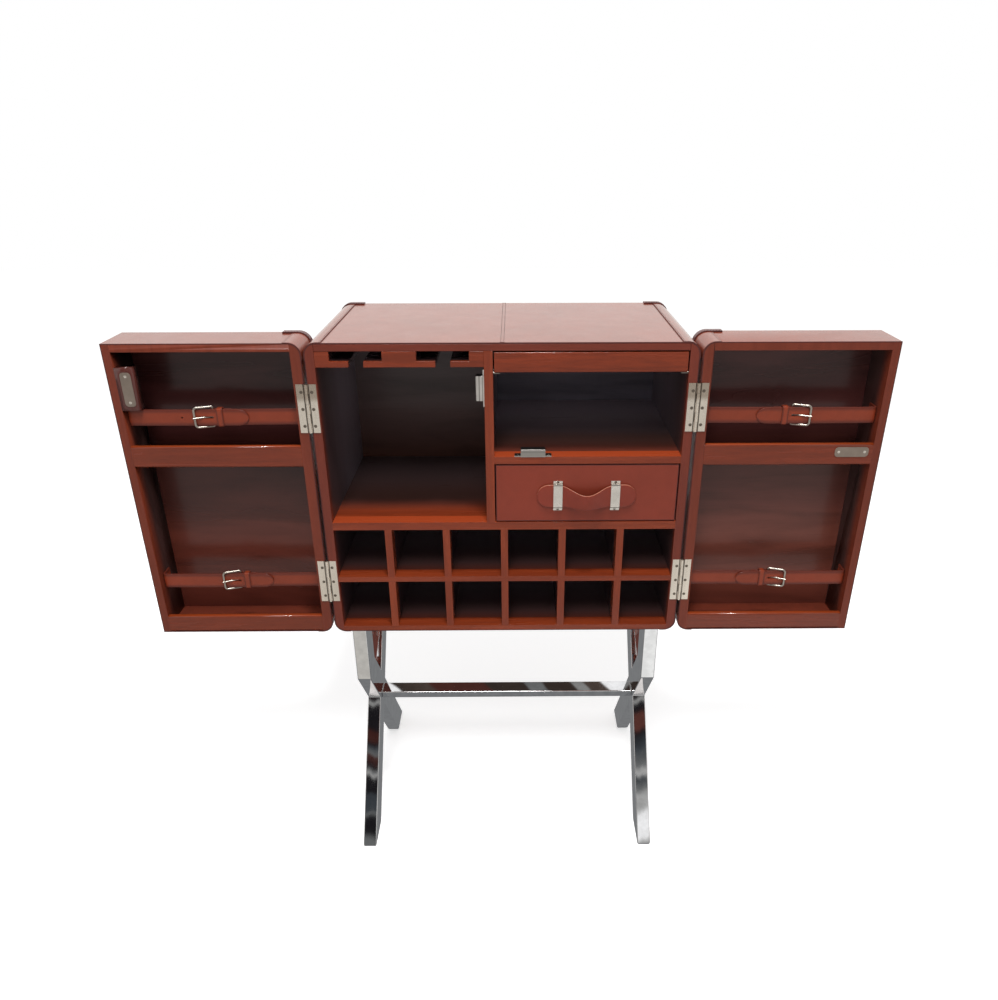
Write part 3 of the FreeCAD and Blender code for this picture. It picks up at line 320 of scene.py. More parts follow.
def wood(name, colour, streak, gloss=0.3, coat=0.1, coatGloss=0.12, alongX=False, dark=None, deepFrom=0.0,
         deepOver=mm, above=None, far=None, paintedTopLight=None, topAbove=0.0):
    # long thin noise along the grain, a slower drift over it, and fine pores. The grain runs along x,
    # or along the piece's own grain attribute. Past deepFrom along y the wood takes the dark tone, only
    # above a height where above gives one: painted shade inside the compartments and the doors. Towards
    # the back panel it takes the far tone: painted light on the far walls and floors. The tone for the
    # polished faces that look up, above the height topAbove, is a painted highlight where light falls on
    # them.
    look = woodFinish
    paint = newPaint(name)
    a = look["acrossGrain"]
    where = paint.place((1, a, a), None if alongX else "grain")
    figure = paint.noise(where, look["figure"], 4.0, 0.55, 0.5)
    streaks = paint.noise(where, look["streaks"], 3.0, 0.6)
    pores = paint.noise(where, look["pores"], 2.0)
    band = paint.smooth(figure * 0.6 + streaks * 0.4, 0.34, 0.66)
    tone = paint.blend(band, streak, colour)
    tone = paint.blend(paint.smooth(pores, 0.52, 0.72) * look["poreShare"], tone, shade(streak, 0.6))
    # painted highlight: the polished faces that look up are lighter where light falls on them
    if paintedTopLight is not None:
        high = paint.smooth(paint.along(2), topAbove, topAbove + look["topFade"])
        tone = paint.blend(high * paint.smooth(paint.own("faceUp"), 0.3, 0.8), tone, paintedTopLight)
    # painted shade: darker deeper inside the compartments and the doors
    if dark is not None:
        paintedShade = paint.smooth(paint.along(1), deepFrom, deepFrom + deepOver)
        if above is not None:
            paintedShade = paintedShade * paint.smooth(paint.along(2), above, above + look["aboveFade"])
        tone = paint.blend(paintedShade, tone, dark)
    # painted light: a paler, greyer tone on the far walls and floors towards the back panel
    if far is not None:
        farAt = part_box("back_panel")[0].y - look["farBefore"]
        tone = paint.blend(paint.smooth(paint.along(1), deepFrom + deepOver, farAt), tone, far)
    rough = figure * 0.14 + (gloss - 0.07)
    height = pores * 0.1 * look["poreShare"] + streaks * 0.03
    return paint.finish(tone, rough, height, **coated(coat, coatGloss, look["specular"]))


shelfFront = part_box("main_shelf")[0].y
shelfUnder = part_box("main_shelf")[0].z
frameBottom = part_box("left_door_frame")[0].z
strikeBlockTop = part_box("left_door_rails")[1].z
# painted shade deep inside the body, and painted light on its far walls
insideShade = (0.045, 0.026, 0.027)
insideFarLight = (0.25, 0.205, 0.24)

# In each wood, dark is painted shade past deepFrom, far is painted light towards the back panel, and the top
# tones are painted highlights. binShelfWood and cellWood take darker colours than shelfWood: painted shade on
# the floors deep inside.
woods = {
    "frameWood": dict(colour=(0.150, 0.027, 0.0125), streak=(0.120, 0.022, 0.0105), gloss=0.34,
                      dark=(0.045, 0.020, 0.018), deepFrom=bodyFront + 5.5 * mm, deepOver=25 * mm,
                      above=frameBottom + 5.5 * mm),
    "bodyWood": dict(colour=(0.145, 0.026, 0.014), streak=(0.116, 0.0215, 0.012), gloss=0.34,
                     dark=insideShade, deepFrom=bodyFront + 4.5 * mm, deepOver=20 * mm, far=insideFarLight),
    "railWood": dict(colour=(0.18, 0.026, 0.007), streak=(0.115, 0.018, 0.006), gloss=0.26, coat=0.25,
                     coatGloss=0.08, dark=insideShade, deepFrom=bodyFront + 4 * mm, deepOver=4 * mm,
                     far=insideFarLight),
    "doorRailWood": dict(colour=(0.155, 0.022, 0.006), streak=(0.11, 0.017, 0.005), gloss=0.26, coat=0.45,
                         coatGloss=0.06, paintedTopLight=(0.22, 0.035, 0.008), dark=(0.075, 0.020, 0.016),
                         deepFrom=bodyFront - 10 * mm, above=strikeBlockTop - 87.5 * mm),
    "lippingWood": dict(colour=(0.20, 0.032, 0.009), streak=(0.145, 0.023, 0.008), gloss=0.26, coat=0.25,
                        coatGloss=0.08, paintedTopLight=(0.29, 0.043, 0.012), topAbove=shelfUnder - 6 * mm),
    "shelfWood": dict(colour=(0.20, 0.029, 0.008), streak=(0.14, 0.022, 0.007), alongX=True,
                      dark=(0.050, 0.022, 0.018), deepFrom=shelfFront + 5.5 * mm, deepOver=75 * mm,
                      far=(0.095, 0.062, 0.064)),
    "binShelfWood": dict(colour=(0.10, 0.022, 0.012), streak=(0.08, 0.018, 0.011), alongX=True,
                         dark=(0.068, 0.031, 0.025), deepFrom=shelfFront + 0.5 * mm, deepOver=60 * mm,
                         far=(0.50, 0.43, 0.50)),
    "cellWood": dict(colour=(0.11, 0.024, 0.013), streak=(0.08, 0.018, 0.011), gloss=0.32, alongX=True,
                     dark=(0.065, 0.034, 0.033), deepFrom=shelfFront - 9.5 * mm, deepOver=40 * mm,
                     far=(0.45, 0.38, 0.43)),
    # innerWood's colour is the inside shade tone itself: painted shade on the boards inside
    "innerWood": dict(colour=(0.045, 0.026, 0.027), streak=(0.036, 0.021, 0.022), gloss=0.34, alongX=True,
                      dark=insideShade, deepFrom=shelfFront + 0.5 * mm, deepOver=10 * mm, far=insideFarLight),
    "doorShelfWood": dict(colour=(0.19, 0.036, 0.018), streak=(0.14, 0.027, 0.016), alongX=True),
    "drawerWood": dict(colour=(0.16, 0.045, 0.027), streak=(0.10, 0.028, 0.018), gloss=0.4, alongX=True),
}


# Back boards of the body and of the doors

panelFinish = {
    "band": 3.0,
    "bandStretch": (1, 6, 6),
    "fine": 22.0,
    "fineStretch": (1, 20, 20),
    "fineTone": (0.02, 0.008, 0.007),
    "coatGloss": 0.12,
    "specular": 0.3,
}
# painted light and shade: tones at heights in metres, above the foot of the door's panel and above the main
# shelf
doorPanelStops = {
    "left": ((0.0155, (0.12, 0.026, 0.017)), (0.1555, (0.13, 0.030, 0.019)), (0.2155, (0.072, 0.019, 0.014)),
             (0.3055, (0.056, 0.016, 0.013)), (0.3555, (0.052, 0.0145, 0.0135))),
    "right": ((0.0155, (0.16, 0.040, 0.026)), (0.1555, (0.17, 0.047, 0.031)), (0.2155, (0.105, 0.031, 0.023)),
              (0.3055, (0.080, 0.026, 0.020)), (0.3555, (0.075, 0.022, 0.020))),
}
backPanelTones = {
    "glasses": ((0.0, (0.10, 0.040, 0.028)), (0.08, (0.12, 0.070, 0.064)), (0.24, (0.10, 0.070, 0.075))),
    "bin": (0.19, 0.17, 0.215),
    "cells": (0.70, 0.66, 0.76),
}


def doorPanelTone(paint):
    # painted light and shade: lighter and redder towards the floor of the door, and the right door lighter
    # than the left
    height = paint.along(2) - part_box("left_door_panel")[0].z
    left, right = (paint.ramp(height, doorPanelStops[side]) for side in ("left", "right"))
    return paint.blend(paint.smooth(paint.along(0), -0.1, 0.1), left, right)


def backTone(paint):
    # one board behind three spaces: the glasses' side, the open bin and the bottle cells, each with its own
    # painted light and shade
    x, z = paint.along(0), paint.along(2)
    tones = backPanelTones
    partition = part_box("centre_partition")
    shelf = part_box("main_shelf")
    glasses = paint.ramp(z - shelf[1].z, tones["glasses"])
    upper = paint.blend(paint.smooth(x, partition[0].x, partition[1].x), glasses, tones["bin"])
    return paint.blend(paint.smooth(z, shelf[0].z, shelf[1].z), tones["cells"], upper)


def panelWood(name, pick, gloss, coat):
    # a polished board: wide soft bands along x over the tone that pick gives, and faint fine lines
    look = panelFinish
    paint = newPaint(name)
    band = paint.noise(paint.place(look["bandStretch"]), look["band"], 3.0, 0.5, 0.8)
    fine = paint.noise(paint.place(look["fineStretch"]), look["fine"], 3.0, 0.6)
    tone = pick(paint)
    tone = paint.blend(paint.smooth(band, 0.35, 0.7) * 0.35, tone, (0, 0, 0))
    tone = paint.blend(paint.smooth(fine, 0.5, 0.8) * 0.2, tone, look["fineTone"])
    rough = band * 0.12 + (gloss - 0.06)
    return paint.finish(tone, rough, fine * 0.02, **coated(coat, look["coatGloss"], look["specular"]))


panels = {
    "backWood": dict(pick=backTone, gloss=0.3, coat=0.1),
    "doorBackWood": dict(pick=doorPanelTone, gloss=0.26, coat=0.15),
}


# Metal and rubber

hingeLow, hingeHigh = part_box("body_hinge_leaves")
hingeScrews = {
    "leafHeight": 80 * mm,
    "aside": 8.4 * mm,  # from the hinge's axis
    "lower": 0.8 * mm,  # than the middle of the leaf
    "step": 28.0 * mm,
    "inner": 2.3 * mm,
    "outer": 2.9 * mm,
}


def aroundScrews(paint):
    # 1 in a small round about each hinge screw: places are mirrored over x, over the hinge's axis and
    # over two heights, so one screw and its neighbour stand for all
    s = hingeScrews
    middle = (hingeLow.z + hingeHigh.z) / 2 - s["lower"]
    apart = (hingeHigh.z - hingeLow.z - s["leafHeight"]) / 2
    x = abs(abs(paint.along(0)) - hingeAxis) - s["aside"]
    z = abs(abs(paint.along(2) - middle) - apart)
    offs = [z, z - s["step"]]
    return paint.any([1 - paint.smooth((x * x + off * off) ** 0.5, s["inner"], s["outer"]) for off in offs])


metalFinish = {
    "haze": 60.0,
    "line": 900.0,
    "creviceShade": (0.05, 0.035, 0.025),
}


def metal(name, colour, gloss, brush=(1, 1, 1), spread=0.08, mark=0.02, bands=(), paintedUpShade=None, rings=False):
    # a hazy polish with fine lines. bands are (axis, place, half width, tone), along |x| where the axis
    # is None: painted shade in a hinge's joint or at a bracket's bends, say, a painted dark reflection on a
    # hinge, or screws that differ. The tone for the faces that look up is painted shade. rings paints shade
    # in a small round about each hinge screw.
    paint = newPaint(name)
    where = paint.place(brush)
    haze = paint.noise(where, metalFinish["haze"])
    line = paint.noise(where, metalFinish["line"], 2.0)
    tone = paint.blend(paint.smooth(haze, 0.3, 0.75), shade(colour, 0.86), colour)
    for axis, place, half, other in bands:
        along = abs(paint.along(0)) if axis is None else paint.along(axis)
        tone = paint.blend(paint.line(along, place, half) * 0.9, tone, other)
    # painted shade on the faces that look up
    if paintedUpShade is not None:
        tone = paint.blend(paint.smooth(paint.own("faceUp"), 0.3, 0.8), tone, paintedUpShade)
    # painted shade round the hinge screws
    if rings:
        tone = paint.blend(aroundScrews(paint), tone, metalFinish["creviceShade"])
    rough = haze * spread + line * 0.04 + (gloss - spread / 2)
    return paint.finish(tone, rough, line * mark, Metallic=1.0)


def rubber(name, dark, light, size):
    # fine specks between two tones
    paint = newPaint(name)
    speck = paint.noise(paint.place(), size, 2.0)
    return paint.finish(paint.blend(speck, dark, light), speck * 0.2 + 0.6, speck * 0.05)


creviceShade = metalFinish["creviceShade"]
bracketLow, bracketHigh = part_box("handle_brackets")
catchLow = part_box("magnet_catches")[0]

# the hinges' upper band is a painted dark reflection; the bands by the hinge's joint, at the bracket's bends
# and round the hinge screws are painted shade; the catch's bands are painted shade on its front and in a
# groove that it has no shape for, and its faces that look up take painted shade
metals = {
    "nickel": dict(colour=(0.93, 0.84, 0.73), gloss=0.25, brush=(1, 1, 0.06), rings=True, bands=(
        (2, hingeHigh.z - 8 * mm, 24 * mm, (0.48, 0.40, 0.32)),
        (None, hingeAxis - 4 * mm, 1.2 * mm, creviceShade),
        (None, hingeAxis + 4 * mm, 1.2 * mm, creviceShade))),
    "pinNickel": dict(colour=(0.30, 0.27, 0.24), gloss=0.3),
    "bracketNickel": dict(colour=(0.88, 0.83, 0.76), gloss=0.24, bands=(
        (2, bracketHigh.z - 6.5 * mm, 0.8 * mm, creviceShade),
        (2, bracketLow.z + 6.5 * mm, 0.8 * mm, creviceShade))),
    "strikeNickel": dict(colour=(0.38, 0.31, 0.26), gloss=0.3),
    "brightNickel": dict(colour=(0.50, 0.455, 0.40), gloss=0.33),
    "screwNickel": dict(colour=(0.90, 0.84, 0.75), gloss=0.24, bands=(
        (None, hingeAxis, 60 * mm, (0.17, 0.13, 0.10)),)),
    "darkNickel": dict(colour=(0.20, 0.17, 0.14), gloss=0.3),
    "catchMetal": dict(colour=(0.80, 0.76, 0.72), gloss=0.42, paintedUpShade=(0.06, 0.056, 0.052), bands=(
        (2, catchLow.z + 7 * mm, 10 * mm, (0.36, 0.34, 0.32)),
        (0, catchLow.x + 5.4 * mm, 1.1 * mm, (0.28, 0.25, 0.23)),
        (0, catchLow.x + 10.6 * mm, 1.0 * mm, (0.35, 0.31, 0.28)),
        (2, catchLow.z + 3.5 * mm, 0.9 * mm, (0.40, 0.37, 0.33)),
        (2, catchLow.z + 8.5 * mm, 1.2 * mm, (0.30, 0.28, 0.26)))),
    "chrome": dict(colour=(0.86, 0.86, 0.87), gloss=0.015, spread=0.01, mark=0.0),
}
rubbers = {
    "rubber": dict(dark=(0.012, 0.012, 0.012), light=(0.03, 0.03, 0.03), size=500.0),
}

finishes = ((leather, leathers), (wood, woods), (panelWood, panels), (metal, metals), (rubber, rubbers))
paints = {name: make(name, **look) for make, looks in finishes for name, look in looks.items()}


# Meshes from whole arrays

def buildMesh(name, points, faces):
    # points is any array whose last axis is x, y, z
    mesh = bpy.data.meshes.new(name)
    mesh.from_pydata(np.asarray(points).reshape(-1, 3).tolist(), [], faces)
    mesh.update()
    return mesh


def gridFaces(rows, columns, closeRows=False, closeColumns=False):
    # each cell of the grid joins four neighbours; a closed direction joins its last line to its first
    row = np.arange(rows if closeRows else rows - 1)
    column = np.arange(columns if closeColumns else columns - 1)
    a, b = np.meshgrid(row, column, indexing="ij")
    nextRow = (a + 1) % rows
    nextColumn = (b + 1) % columns
    quads = np.stack([a * columns + b, nextRow * columns + b,
                      nextRow * columns + nextColumn, a * columns + nextColumn], axis=-1)
    return quads.reshape(-1, 4).tolist()


def tubeMesh(name, points, closed=False):
    # points is rings by ring points; open ends get one face each
    rings, around = points.shape[:2]
    faces = gridFaces(rings, around, closeRows=closed, closeColumns=True)
    if not closed:
        faces.append(list(range(around)))
        faces.append(list(range((rings - 1) * around, rings * around))[::-1])
    return buildMesh(name, points, faces)


def outwards(mesh):
    # merges doubles and turns every face outwards
    form = bmesh.new()
    form.from_mesh(mesh)
    bmesh.ops.remove_doubles(form, verts=form.verts, dist=0.001 * mm)
    bmesh.ops.recalc_face_normals(form, faces=form.faces)
    form.to_mesh(mesh)
    form.free()


def addPiece(name, mesh, body, paint, replaced=(), smooth=40.0):
    # smooth is the angle in degrees past which an edge is shaded sharp, or None to keep the mesh's own
    piece = bpy.data.objects.new(name, mesh)
    bpy.context.collection.objects.link(piece)
    mesh.materials.clear()
    mesh.materials.append(paints[paint])
    mesh.polygons.foreach_set("use_smooth", np.ones(len(mesh.polygons), dtype=bool))
    if smooth is not None:
        mesh.set_sharp_from_angle(angle=radians(smooth))
    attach(piece, body)
    if replaced:
        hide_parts(*replaced)
    return piece


def superSection(count, halfWidth, halfThick, power):
    # a rounded flat section: the cosine and sine of an ellipse, each raised to 2 / power
    angle = np.linspace(0, 2 * pi, count, endpoint=False) + pi / count
    c, s = np.cos(angle), np.sin(angle)
    share = 2 / power
    across = halfWidth * np.sign(c) * np.abs(c) ** share
    up = halfThick * np.sign(s) * np.abs(s) ** share
    return across, up


# Copies of CAD boards, leather and bars with their edges eased

easing = {
    "sharp": 35.0,
    "flat": 0.3,
    "longEdge": 100 * mm,
    "wideFrom": 2.0,
    "segments": 2,
    "wideSegments": 4,
}


def easedCopy(node, body, paint, slot, width):
    # a copy of a CAD node whose edges past the sharp angle are eased, by width in millimetres
    s = easing
    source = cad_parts[node]
    form = bmesh.new()
    form.from_mesh(source.data)
    bmesh.ops.remove_doubles(form, verts=form.verts, dist=0.001 * mm)
    bmesh.ops.dissolve_limit(form, angle_limit=radians(s["flat"]), verts=form.verts, edges=form.edges)
    wide = width > s["wideFrom"]
    weight = form.edges.layers.float.new("bevel_weight_edge")
    for edge in form.edges:
        # where two solids touch, the shading breaks; the widest bevels are for long edges only
        edge.smooth = edge.is_manifold
        sharp = edge.calc_face_angle(0) > radians(s["sharp"])
        edge[weight] = 1.0 if sharp and edge.calc_length() > s["longEdge"] else 0.0
    mesh = bpy.data.meshes.new(node + "_eased")
    form.to_mesh(mesh)
    grainAttribute(mesh, form, grainAxes.get(node))
    upAttribute(mesh)
    form.free()
    piece = addPiece(node + "_eased", mesh, body, paint, (node,), None)
    bevel = piece.modifiers.new("easedEdges", "BEVEL")
    bevel.width = width * mm
    bevel.segments = s["wideSegments"] if wide else s["segments"]
    bevel.limit_method = "WEIGHT" if wide else "ANGLE"
    bevel.use_clamp_overlap = not wide
    bevel.angle_limit = radians(s["sharp"])
    even = piece.modifiers.new("flatFaces", "WEIGHTED_NORMAL")
    even.weight = 100
    even.keep_sharp = True


def upAttribute(mesh):
    # 1 on the faces that look up at rest, 0 on the rest
    normals = np.empty(len(mesh.polygons) * 3)
    mesh.polygons.foreach_get("normal", normals)
    layer = mesh.attributes.new("faceUp", "FLOAT", "FACE")
    layer.data.foreach_set("value", np.clip(normals[2::3], 0, 1))


def looseIslands(form):
    # numbers each corner by the separate solid that it belongs to
    form.verts.ensure_lookup_table()
    island = np.full(len(form.verts), -1)
    count = 0
    for start in form.verts:
        if island[start.index] >= 0:
            continue
        queue = [start]
        island[start.index] = count
        while queue:
            for edge in queue.pop().link_edges:
                for corner in edge.verts:
                    if island[corner.index] < 0:
                        island[corner.index] = count
                        queue.append(corner)
        count += 1
    return island, count


def grainAttribute(mesh, form, axis):
    # the grain runs along each solid's longest side, or along the axis that is given, and each solid
    # takes its own stretch of the wood
    places = np.empty(len(mesh.vertices) * 3)
    mesh.vertices.foreach_get("co", places)
    places = places.reshape(-1, 3)
    island, count = looseIslands(form)
    grain = np.zeros_like(places)
    chance = np.random.default_rng(7)
    for index in range(count):
        own = places[island == index]
        longest = int(np.argmax(np.ptp(own, axis=0))) if axis is None else axis
        order = [longest, (longest + 1) % 3, (longest + 2) % 3]
        grain[island == index] = own[:, order] + chance.uniform(0, 3, 3)
    layer = mesh.attributes.new("grain", "FLOAT_VECTOR", "POINT")
    layer.data.foreach_set("vector", grain.ravel())


# the body, paint, slot and width of easing of each node
easedNodes = {
    "carcass_sides carcass_top": ("cabinet", "bodyWood", "frame_wood", 1.2),
    "front_lippings": ("cabinet", "lippingWood", "lipping_wood", 0.8),
    "glass_rails": ("cabinet", "railWood", "rail_wood", 0.8),
    "leather_cover": ("cabinet", "coverLeather", "cover_leather", 0.6),
    "leather_bands": ("cabinet", "bandLeather", "cover_leather", 0.35),
    "corner_caps": ("cabinet", "capLeather", "cap_leather", 0.7),
    "leg_frame_left leg_frame_right stretcher": ("cabinet", "chrome", "stand_chrome", 1.6),
    "magnet_catches": ("cabinet", "catchMetal", "catch_metal", 0.8),
    "drawer_face": ("drawer", "drawerLeather", "drawer_leather", 1.2),
    "drawer_front": ("drawer", "drawerWood", "drawer_wood", 0.4),
    "handle_brackets": ("drawer", "bracketNickel", "nickel", 0.35),
    "slide_front": ("serving_slide", "railWood", "rail_wood", 1.0),
}
for door in ("left_door", "right_door"):
    easedNodes.update({
        door + "_frame": (door, "frameWood", "frame_wood", 1.2),
        door + "_rails": (door, "doorRailWood", "rail_wood", 3.2),
        door + "_leather": (door, "doorLeather", "cover_leather", 0.6),
        door + "_caps": (door, "doorCapLeather", "cap_leather", 0.7),
        door + "_strike_plate": (door, "strikeNickel", "nickel", 0.5),
    })
grainAxes = {"glass_rails": 0}
plainNodes = {
    "innerWood": "centre_partition bottle_dividers wood_runners",
    "shelfWood": "main_shelf",
    "binShelfWood": "drawer_shelf",
    "cellWood": "carcass_bottom bottle_shelf",
    "backWood": "back_panel",
    "doorBackWood": "left_door_panel right_door_panel",
    "doorShelfWood": "left_door_shelf right_door_shelf",
    "drawerWood": "drawer_box slide_board",
    "nickel": "body_hinge_leaves left_door_hinge_leaves right_door_hinge_leaves",
    "pinNickel": "slide_pins",
    "brightNickel": "left_door_buckles right_door_buckles left_door_prong_lower left_door_prong_upper"
                    " right_door_prong_lower right_door_prong_upper",
    "screwNickel": "body_screws left_door_screws right_door_screws stand_screws",
    "darkNickel": "handle_screws",
    "chrome": "mounting_plates",
    "rubber": "foot_glides",
}


def dressNodes():
    for nodes, look in easedNodes.items():
        for node in nodes.split():
            easedCopy(node, *look)
    for paint, nodes in plainNodes.items():
        for node in nodes.split():
            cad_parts[node].material_slots[0].material = paints[paint]


# Door straps

strap = {
    "width": 27 * mm,
    "thick": 3 * mm,
    "loopThick": 2.05 * mm,
    "setback": 12 * mm,
    "hingeWall": 17.5 * mm,
    "freeWall": 13 * mm,
    "tab": 22 * mm,
    "bend": 3.2 * mm,
    "heel": 156.63 * mm,
    "heelDrop": 4 * mm,
    "loopRadius": 2.975 * mm,
    "fold": 30 * mm,
    "tipBack": 57.7 * mm,
    "tipLength": 17 * mm,
    "tipThin": 0.55,
    "tipFull": 1.2,
    "tipOpen": 0.02,
    "frontSlope": (8 * mm, 5 * mm, 1 * mm),  # from the heel to the slope towards the bar
    "slopeDip": 0.2 * mm,
    "backSlope": (2 * mm, 9 * mm, 11 * mm),  # the same on the way back
    "backDip": 0.3 * mm,
    "foldGap": 1.05 * mm,
    "thinFrom": 12 * mm,
    "endTaper": (8 * mm, 0.45),  # its length, and the share of the thickness at the very end
    "frontFit": 0.1 * mm,
    "sideFit": 0.15 * mm,
    "keeperBack": 12.7 * mm,
    "keeperLength": 10 * mm,
    "keeperThick": 1.8 * mm,
    "keeperFit": 0.2 * mm,
    "keeperRoom": 2 * mm,
    "keeperCorner": 7.0,
    "keeperPower": 4.0,
    "sag": 0.5 * mm,
    "power": 6.0,
    "eyeHalf": 2.9 * mm,
    "eyeReach": 4.4 * mm,
    "eyeOver": 2 * mm,
    "prongHole": (154.4 * mm, 175.0 * mm, 1.9 * mm),  # start, end and half width
    "spareHole": (203.0 * mm, 206.4 * mm, 1.7 * mm),
}


def doorPlace(door):
    # the hinge side's x, the way that the door runs from it, its width and its front y
    low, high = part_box(door + "_leather")
    side = -1.0 if door == "left_door" else 1.0
    hingeX = high.x if side < 0 else low.x
    return hingeX, side, high.x - low.x, low.y


def strapHeights(door):
    # the heights of the lower and the upper strap's middle
    low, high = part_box(door + "_straps")
    half = strap["width"] / 2 + strap["keeperThick"] + strap["keeperFit"]
    return low.z + half, high.z - half


def bandPoints(path, halfWidths, halfThicks, centreZ, count=28):
    # a flat section carried along a path of (u, y) points, u being the way from the hinge: its width
    # runs up z, and its thickness along the path's own normal. Also gives each corner's share of the
    # half width, which is 1 at the cut edges.
    step = np.gradient(path, axis=0)
    step /= np.linalg.norm(step, axis=1, keepdims=True)
    normal = np.stack([-step[:, 1], step[:, 0]], axis=1)
    across, up = superSection(count, 1.0, 1.0, strap["power"])
    offset = up[None, :, None] * halfThicks[:, None, None] * normal[:, None, :]
    flat = path[:, None, :] + offset
    z = centreZ[:, None] + across[None, :] * halfWidths[:, None]
    return np.dstack([flat[..., 0], flat[..., 1], z]), np.abs(across)


def arcPoints(centre, radius, start, end, count):
    # even steps round a circle from one angle to another, in degrees
    angle = np.linspace(radians(start), radians(end), count)
    return np.stack([centre[0] + radius * np.cos(angle), centre[1] + radius * np.sin(angle)], axis=1)


def linePoints(start, end, count):
    # even steps from one point to another
    share = np.linspace(0, 1, count)[:, None]
    return np.array(start) * (1 - share) + np.array(end) * share


def withoutRepeats(path):
    # the path without the points that lie on the one before them
    keep = np.r_[True, np.linalg.norm(np.diff(path, axis=0), axis=1) > 0.01 * mm]
    return path[keep]


def sagging(path, height, span):
    # the band hangs a little lower in the middle of its span
    share = np.clip((path[:, 0] - span[0]) / (span[1] - span[0]), 0, 1)
    return height - strap["sag"] * np.sin(pi * share)


def longEnd(height, width, frontY):
    # from the bend at the free side to the tip, whose half width follows a quarter of a circle
    s = strap
    y = frontY + s["setback"] + s["thick"] / 2
    wall = width - s["freeWall"] - s["thick"] / 2
    tabY = frontY + s["setback"] + s["thick"] + s["tab"]
    tip = s["heel"] - s["tipBack"]
    roundEnd = tip + s["tipLength"] * (1 - np.cos(np.linspace(0, pi / 2, 14)))
    path = np.vstack([
        linePoints((wall, tabY), (wall, y + s["bend"]), 5),
        arcPoints((wall - s["bend"], y + s["bend"]), s["bend"], 0, -90, 8),
        linePoints((wall - s["bend"], y), (tip + s["tipLength"], y), 40),
        np.stack([roundEnd[::-1], np.full(14, y)], axis=1),
    ])
    path = withoutRepeats(path)
    fromTip = np.clip((path[:, 0] - tip) / s["tipLength"], 0, 1)
    roundness = np.sqrt(np.clip(1 - (1 - fromTip) ** 2, 0, 1))
    halfWidth = s["width"] / 2 * np.maximum(roundness, s["tipOpen"])
    halfThick = s["thick"] / 2 * (s["tipThin"] + (1 - s["tipThin"]) * np.minimum(roundness * s["tipFull"], 1))
    z = sagging(path, height, (s["hingeWall"], width - s["freeWall"]))
    return bandPoints(path, halfWidth, halfThick, z)


def buckleEnd(height, width, frontY):
    # from the bend at the hinge side to the buckle's bar, half round the bar and back behind itself
    s = strap
    front = frontY + s["setback"] + s["thick"]
    y = front + s["thick"] / 2
    wall = s["hingeWall"] + s["thick"] / 2
    heelY = front + s["heelDrop"]
    backY = front + s["thick"] + s["foldGap"]
    straight, slope, bar = (s["heel"] - back for back in s["frontSlope"])
    barBack, slopeBack, straightBack = (s["heel"] - back for back in s["backSlope"])
    path = np.vstack([
        linePoints((wall, front + s["tab"]), (wall, y + s["bend"]), 5),
        arcPoints((wall + s["bend"], y + s["bend"]), s["bend"], 180, 270, 8),
        linePoints((wall + s["bend"], y), (straight, y), 30),
        linePoints((slope, y - s["slopeDip"]), (bar, heelY - s["loopRadius"]), 4),
        arcPoints((s["heel"], heelY), s["loopRadius"], -90, 90, 16),
        linePoints((barBack, heelY + s["loopRadius"] - s["backDip"]), (slopeBack, backY), 5),
        linePoints((straightBack, backY), (s["heel"] - s["fold"], backY), 8),
    ])
    path = withoutRepeats(path)
    run = np.r_[0, np.cumsum(np.linalg.norm(np.diff(path, axis=0), axis=1))]
    atLoop = run[np.argmax(path[:, 0])]
    halfThick = np.where(run > atLoop - s["thinFrom"], s["loopThick"] / 2, s["thick"] / 2 - s["frontFit"])
    # the mean of each five neighbours, so that the band thins without a step
    halfThick = np.convolve(np.pad(halfThick, 2, mode="edge"), np.ones(5) / 5, mode="valid")
    taper, least = s["endTaper"]
    halfThick = halfThick * np.clip((run[-1] - run) / taper + least, 0, 1)
    halfWidth = np.full(len(path), s["width"] / 2 - s["sideFit"])
    z = sagging(path, height, (s["hingeWall"], width - s["freeWall"]))
    return bandPoints(path, halfWidth, halfThick, z)


def keeperRing(height, frontY):
    # a band bent round both straps: its path is a rounded rectangle in y and z
    s = strap
    front = frontY + s["setback"] - s["keeperFit"] - s["keeperThick"] / 2
    back = frontY + s["setback"] + 2 * s["thick"] + s["keeperRoom"] + s["keeperFit"] + s["keeperThick"] / 2
    halfZ = s["width"] / 2 + s["keeperFit"] + s["keeperThick"] / 2
    middle, halfY = (front + back) / 2, (back - front) / 2
    angle = np.linspace(0, 2 * pi, 64, endpoint=False)
    share = 2 / s["keeperCorner"]
    y = middle + halfY * np.sign(np.cos(angle)) * np.abs(np.cos(angle)) ** share
    z = height + halfZ * np.sign(np.sin(angle)) * np.abs(np.sin(angle)) ** share
    path = np.stack([y, z], axis=1)
    step = np.roll(path, -1, axis=0) - np.roll(path, 1, axis=0)
    step /= np.linalg.norm(step, axis=1, keepdims=True)
    normal = np.stack([step[:, 1], -step[:, 0]], axis=1)
    across, up = superSection(16, s["keeperLength"] / 2, s["keeperThick"] / 2, s["keeperPower"])
    middleU = s["heel"] - s["keeperBack"]
    yz = path[:, None, :] + up[None, :, None] * normal[:, None, :]
    u = np.broadcast_to(middleU + across[None, :], yz.shape[:2])
    rim = np.abs(across) / (s["keeperLength"] / 2)
    return np.dstack([u, yz[..., 0], yz[..., 1]]), rim


def cutHole(name, start, end, half, height, yPair, place):
    # an oblong punch: a flat-sided prism along y with round ends, as points round its outline
    count = 10
    left = arcPoints((start + half, height), half, 90, 270, count)
    right = arcPoints((end - half, height), half, -90, 90, count)
    ring = np.vstack([left, right])
    rings = [np.stack([ring[:, 0], np.full(len(ring), y), ring[:, 1]], axis=1) for y in yPair]
    return tubeMesh(name, toDoor(np.stack(rings), place))


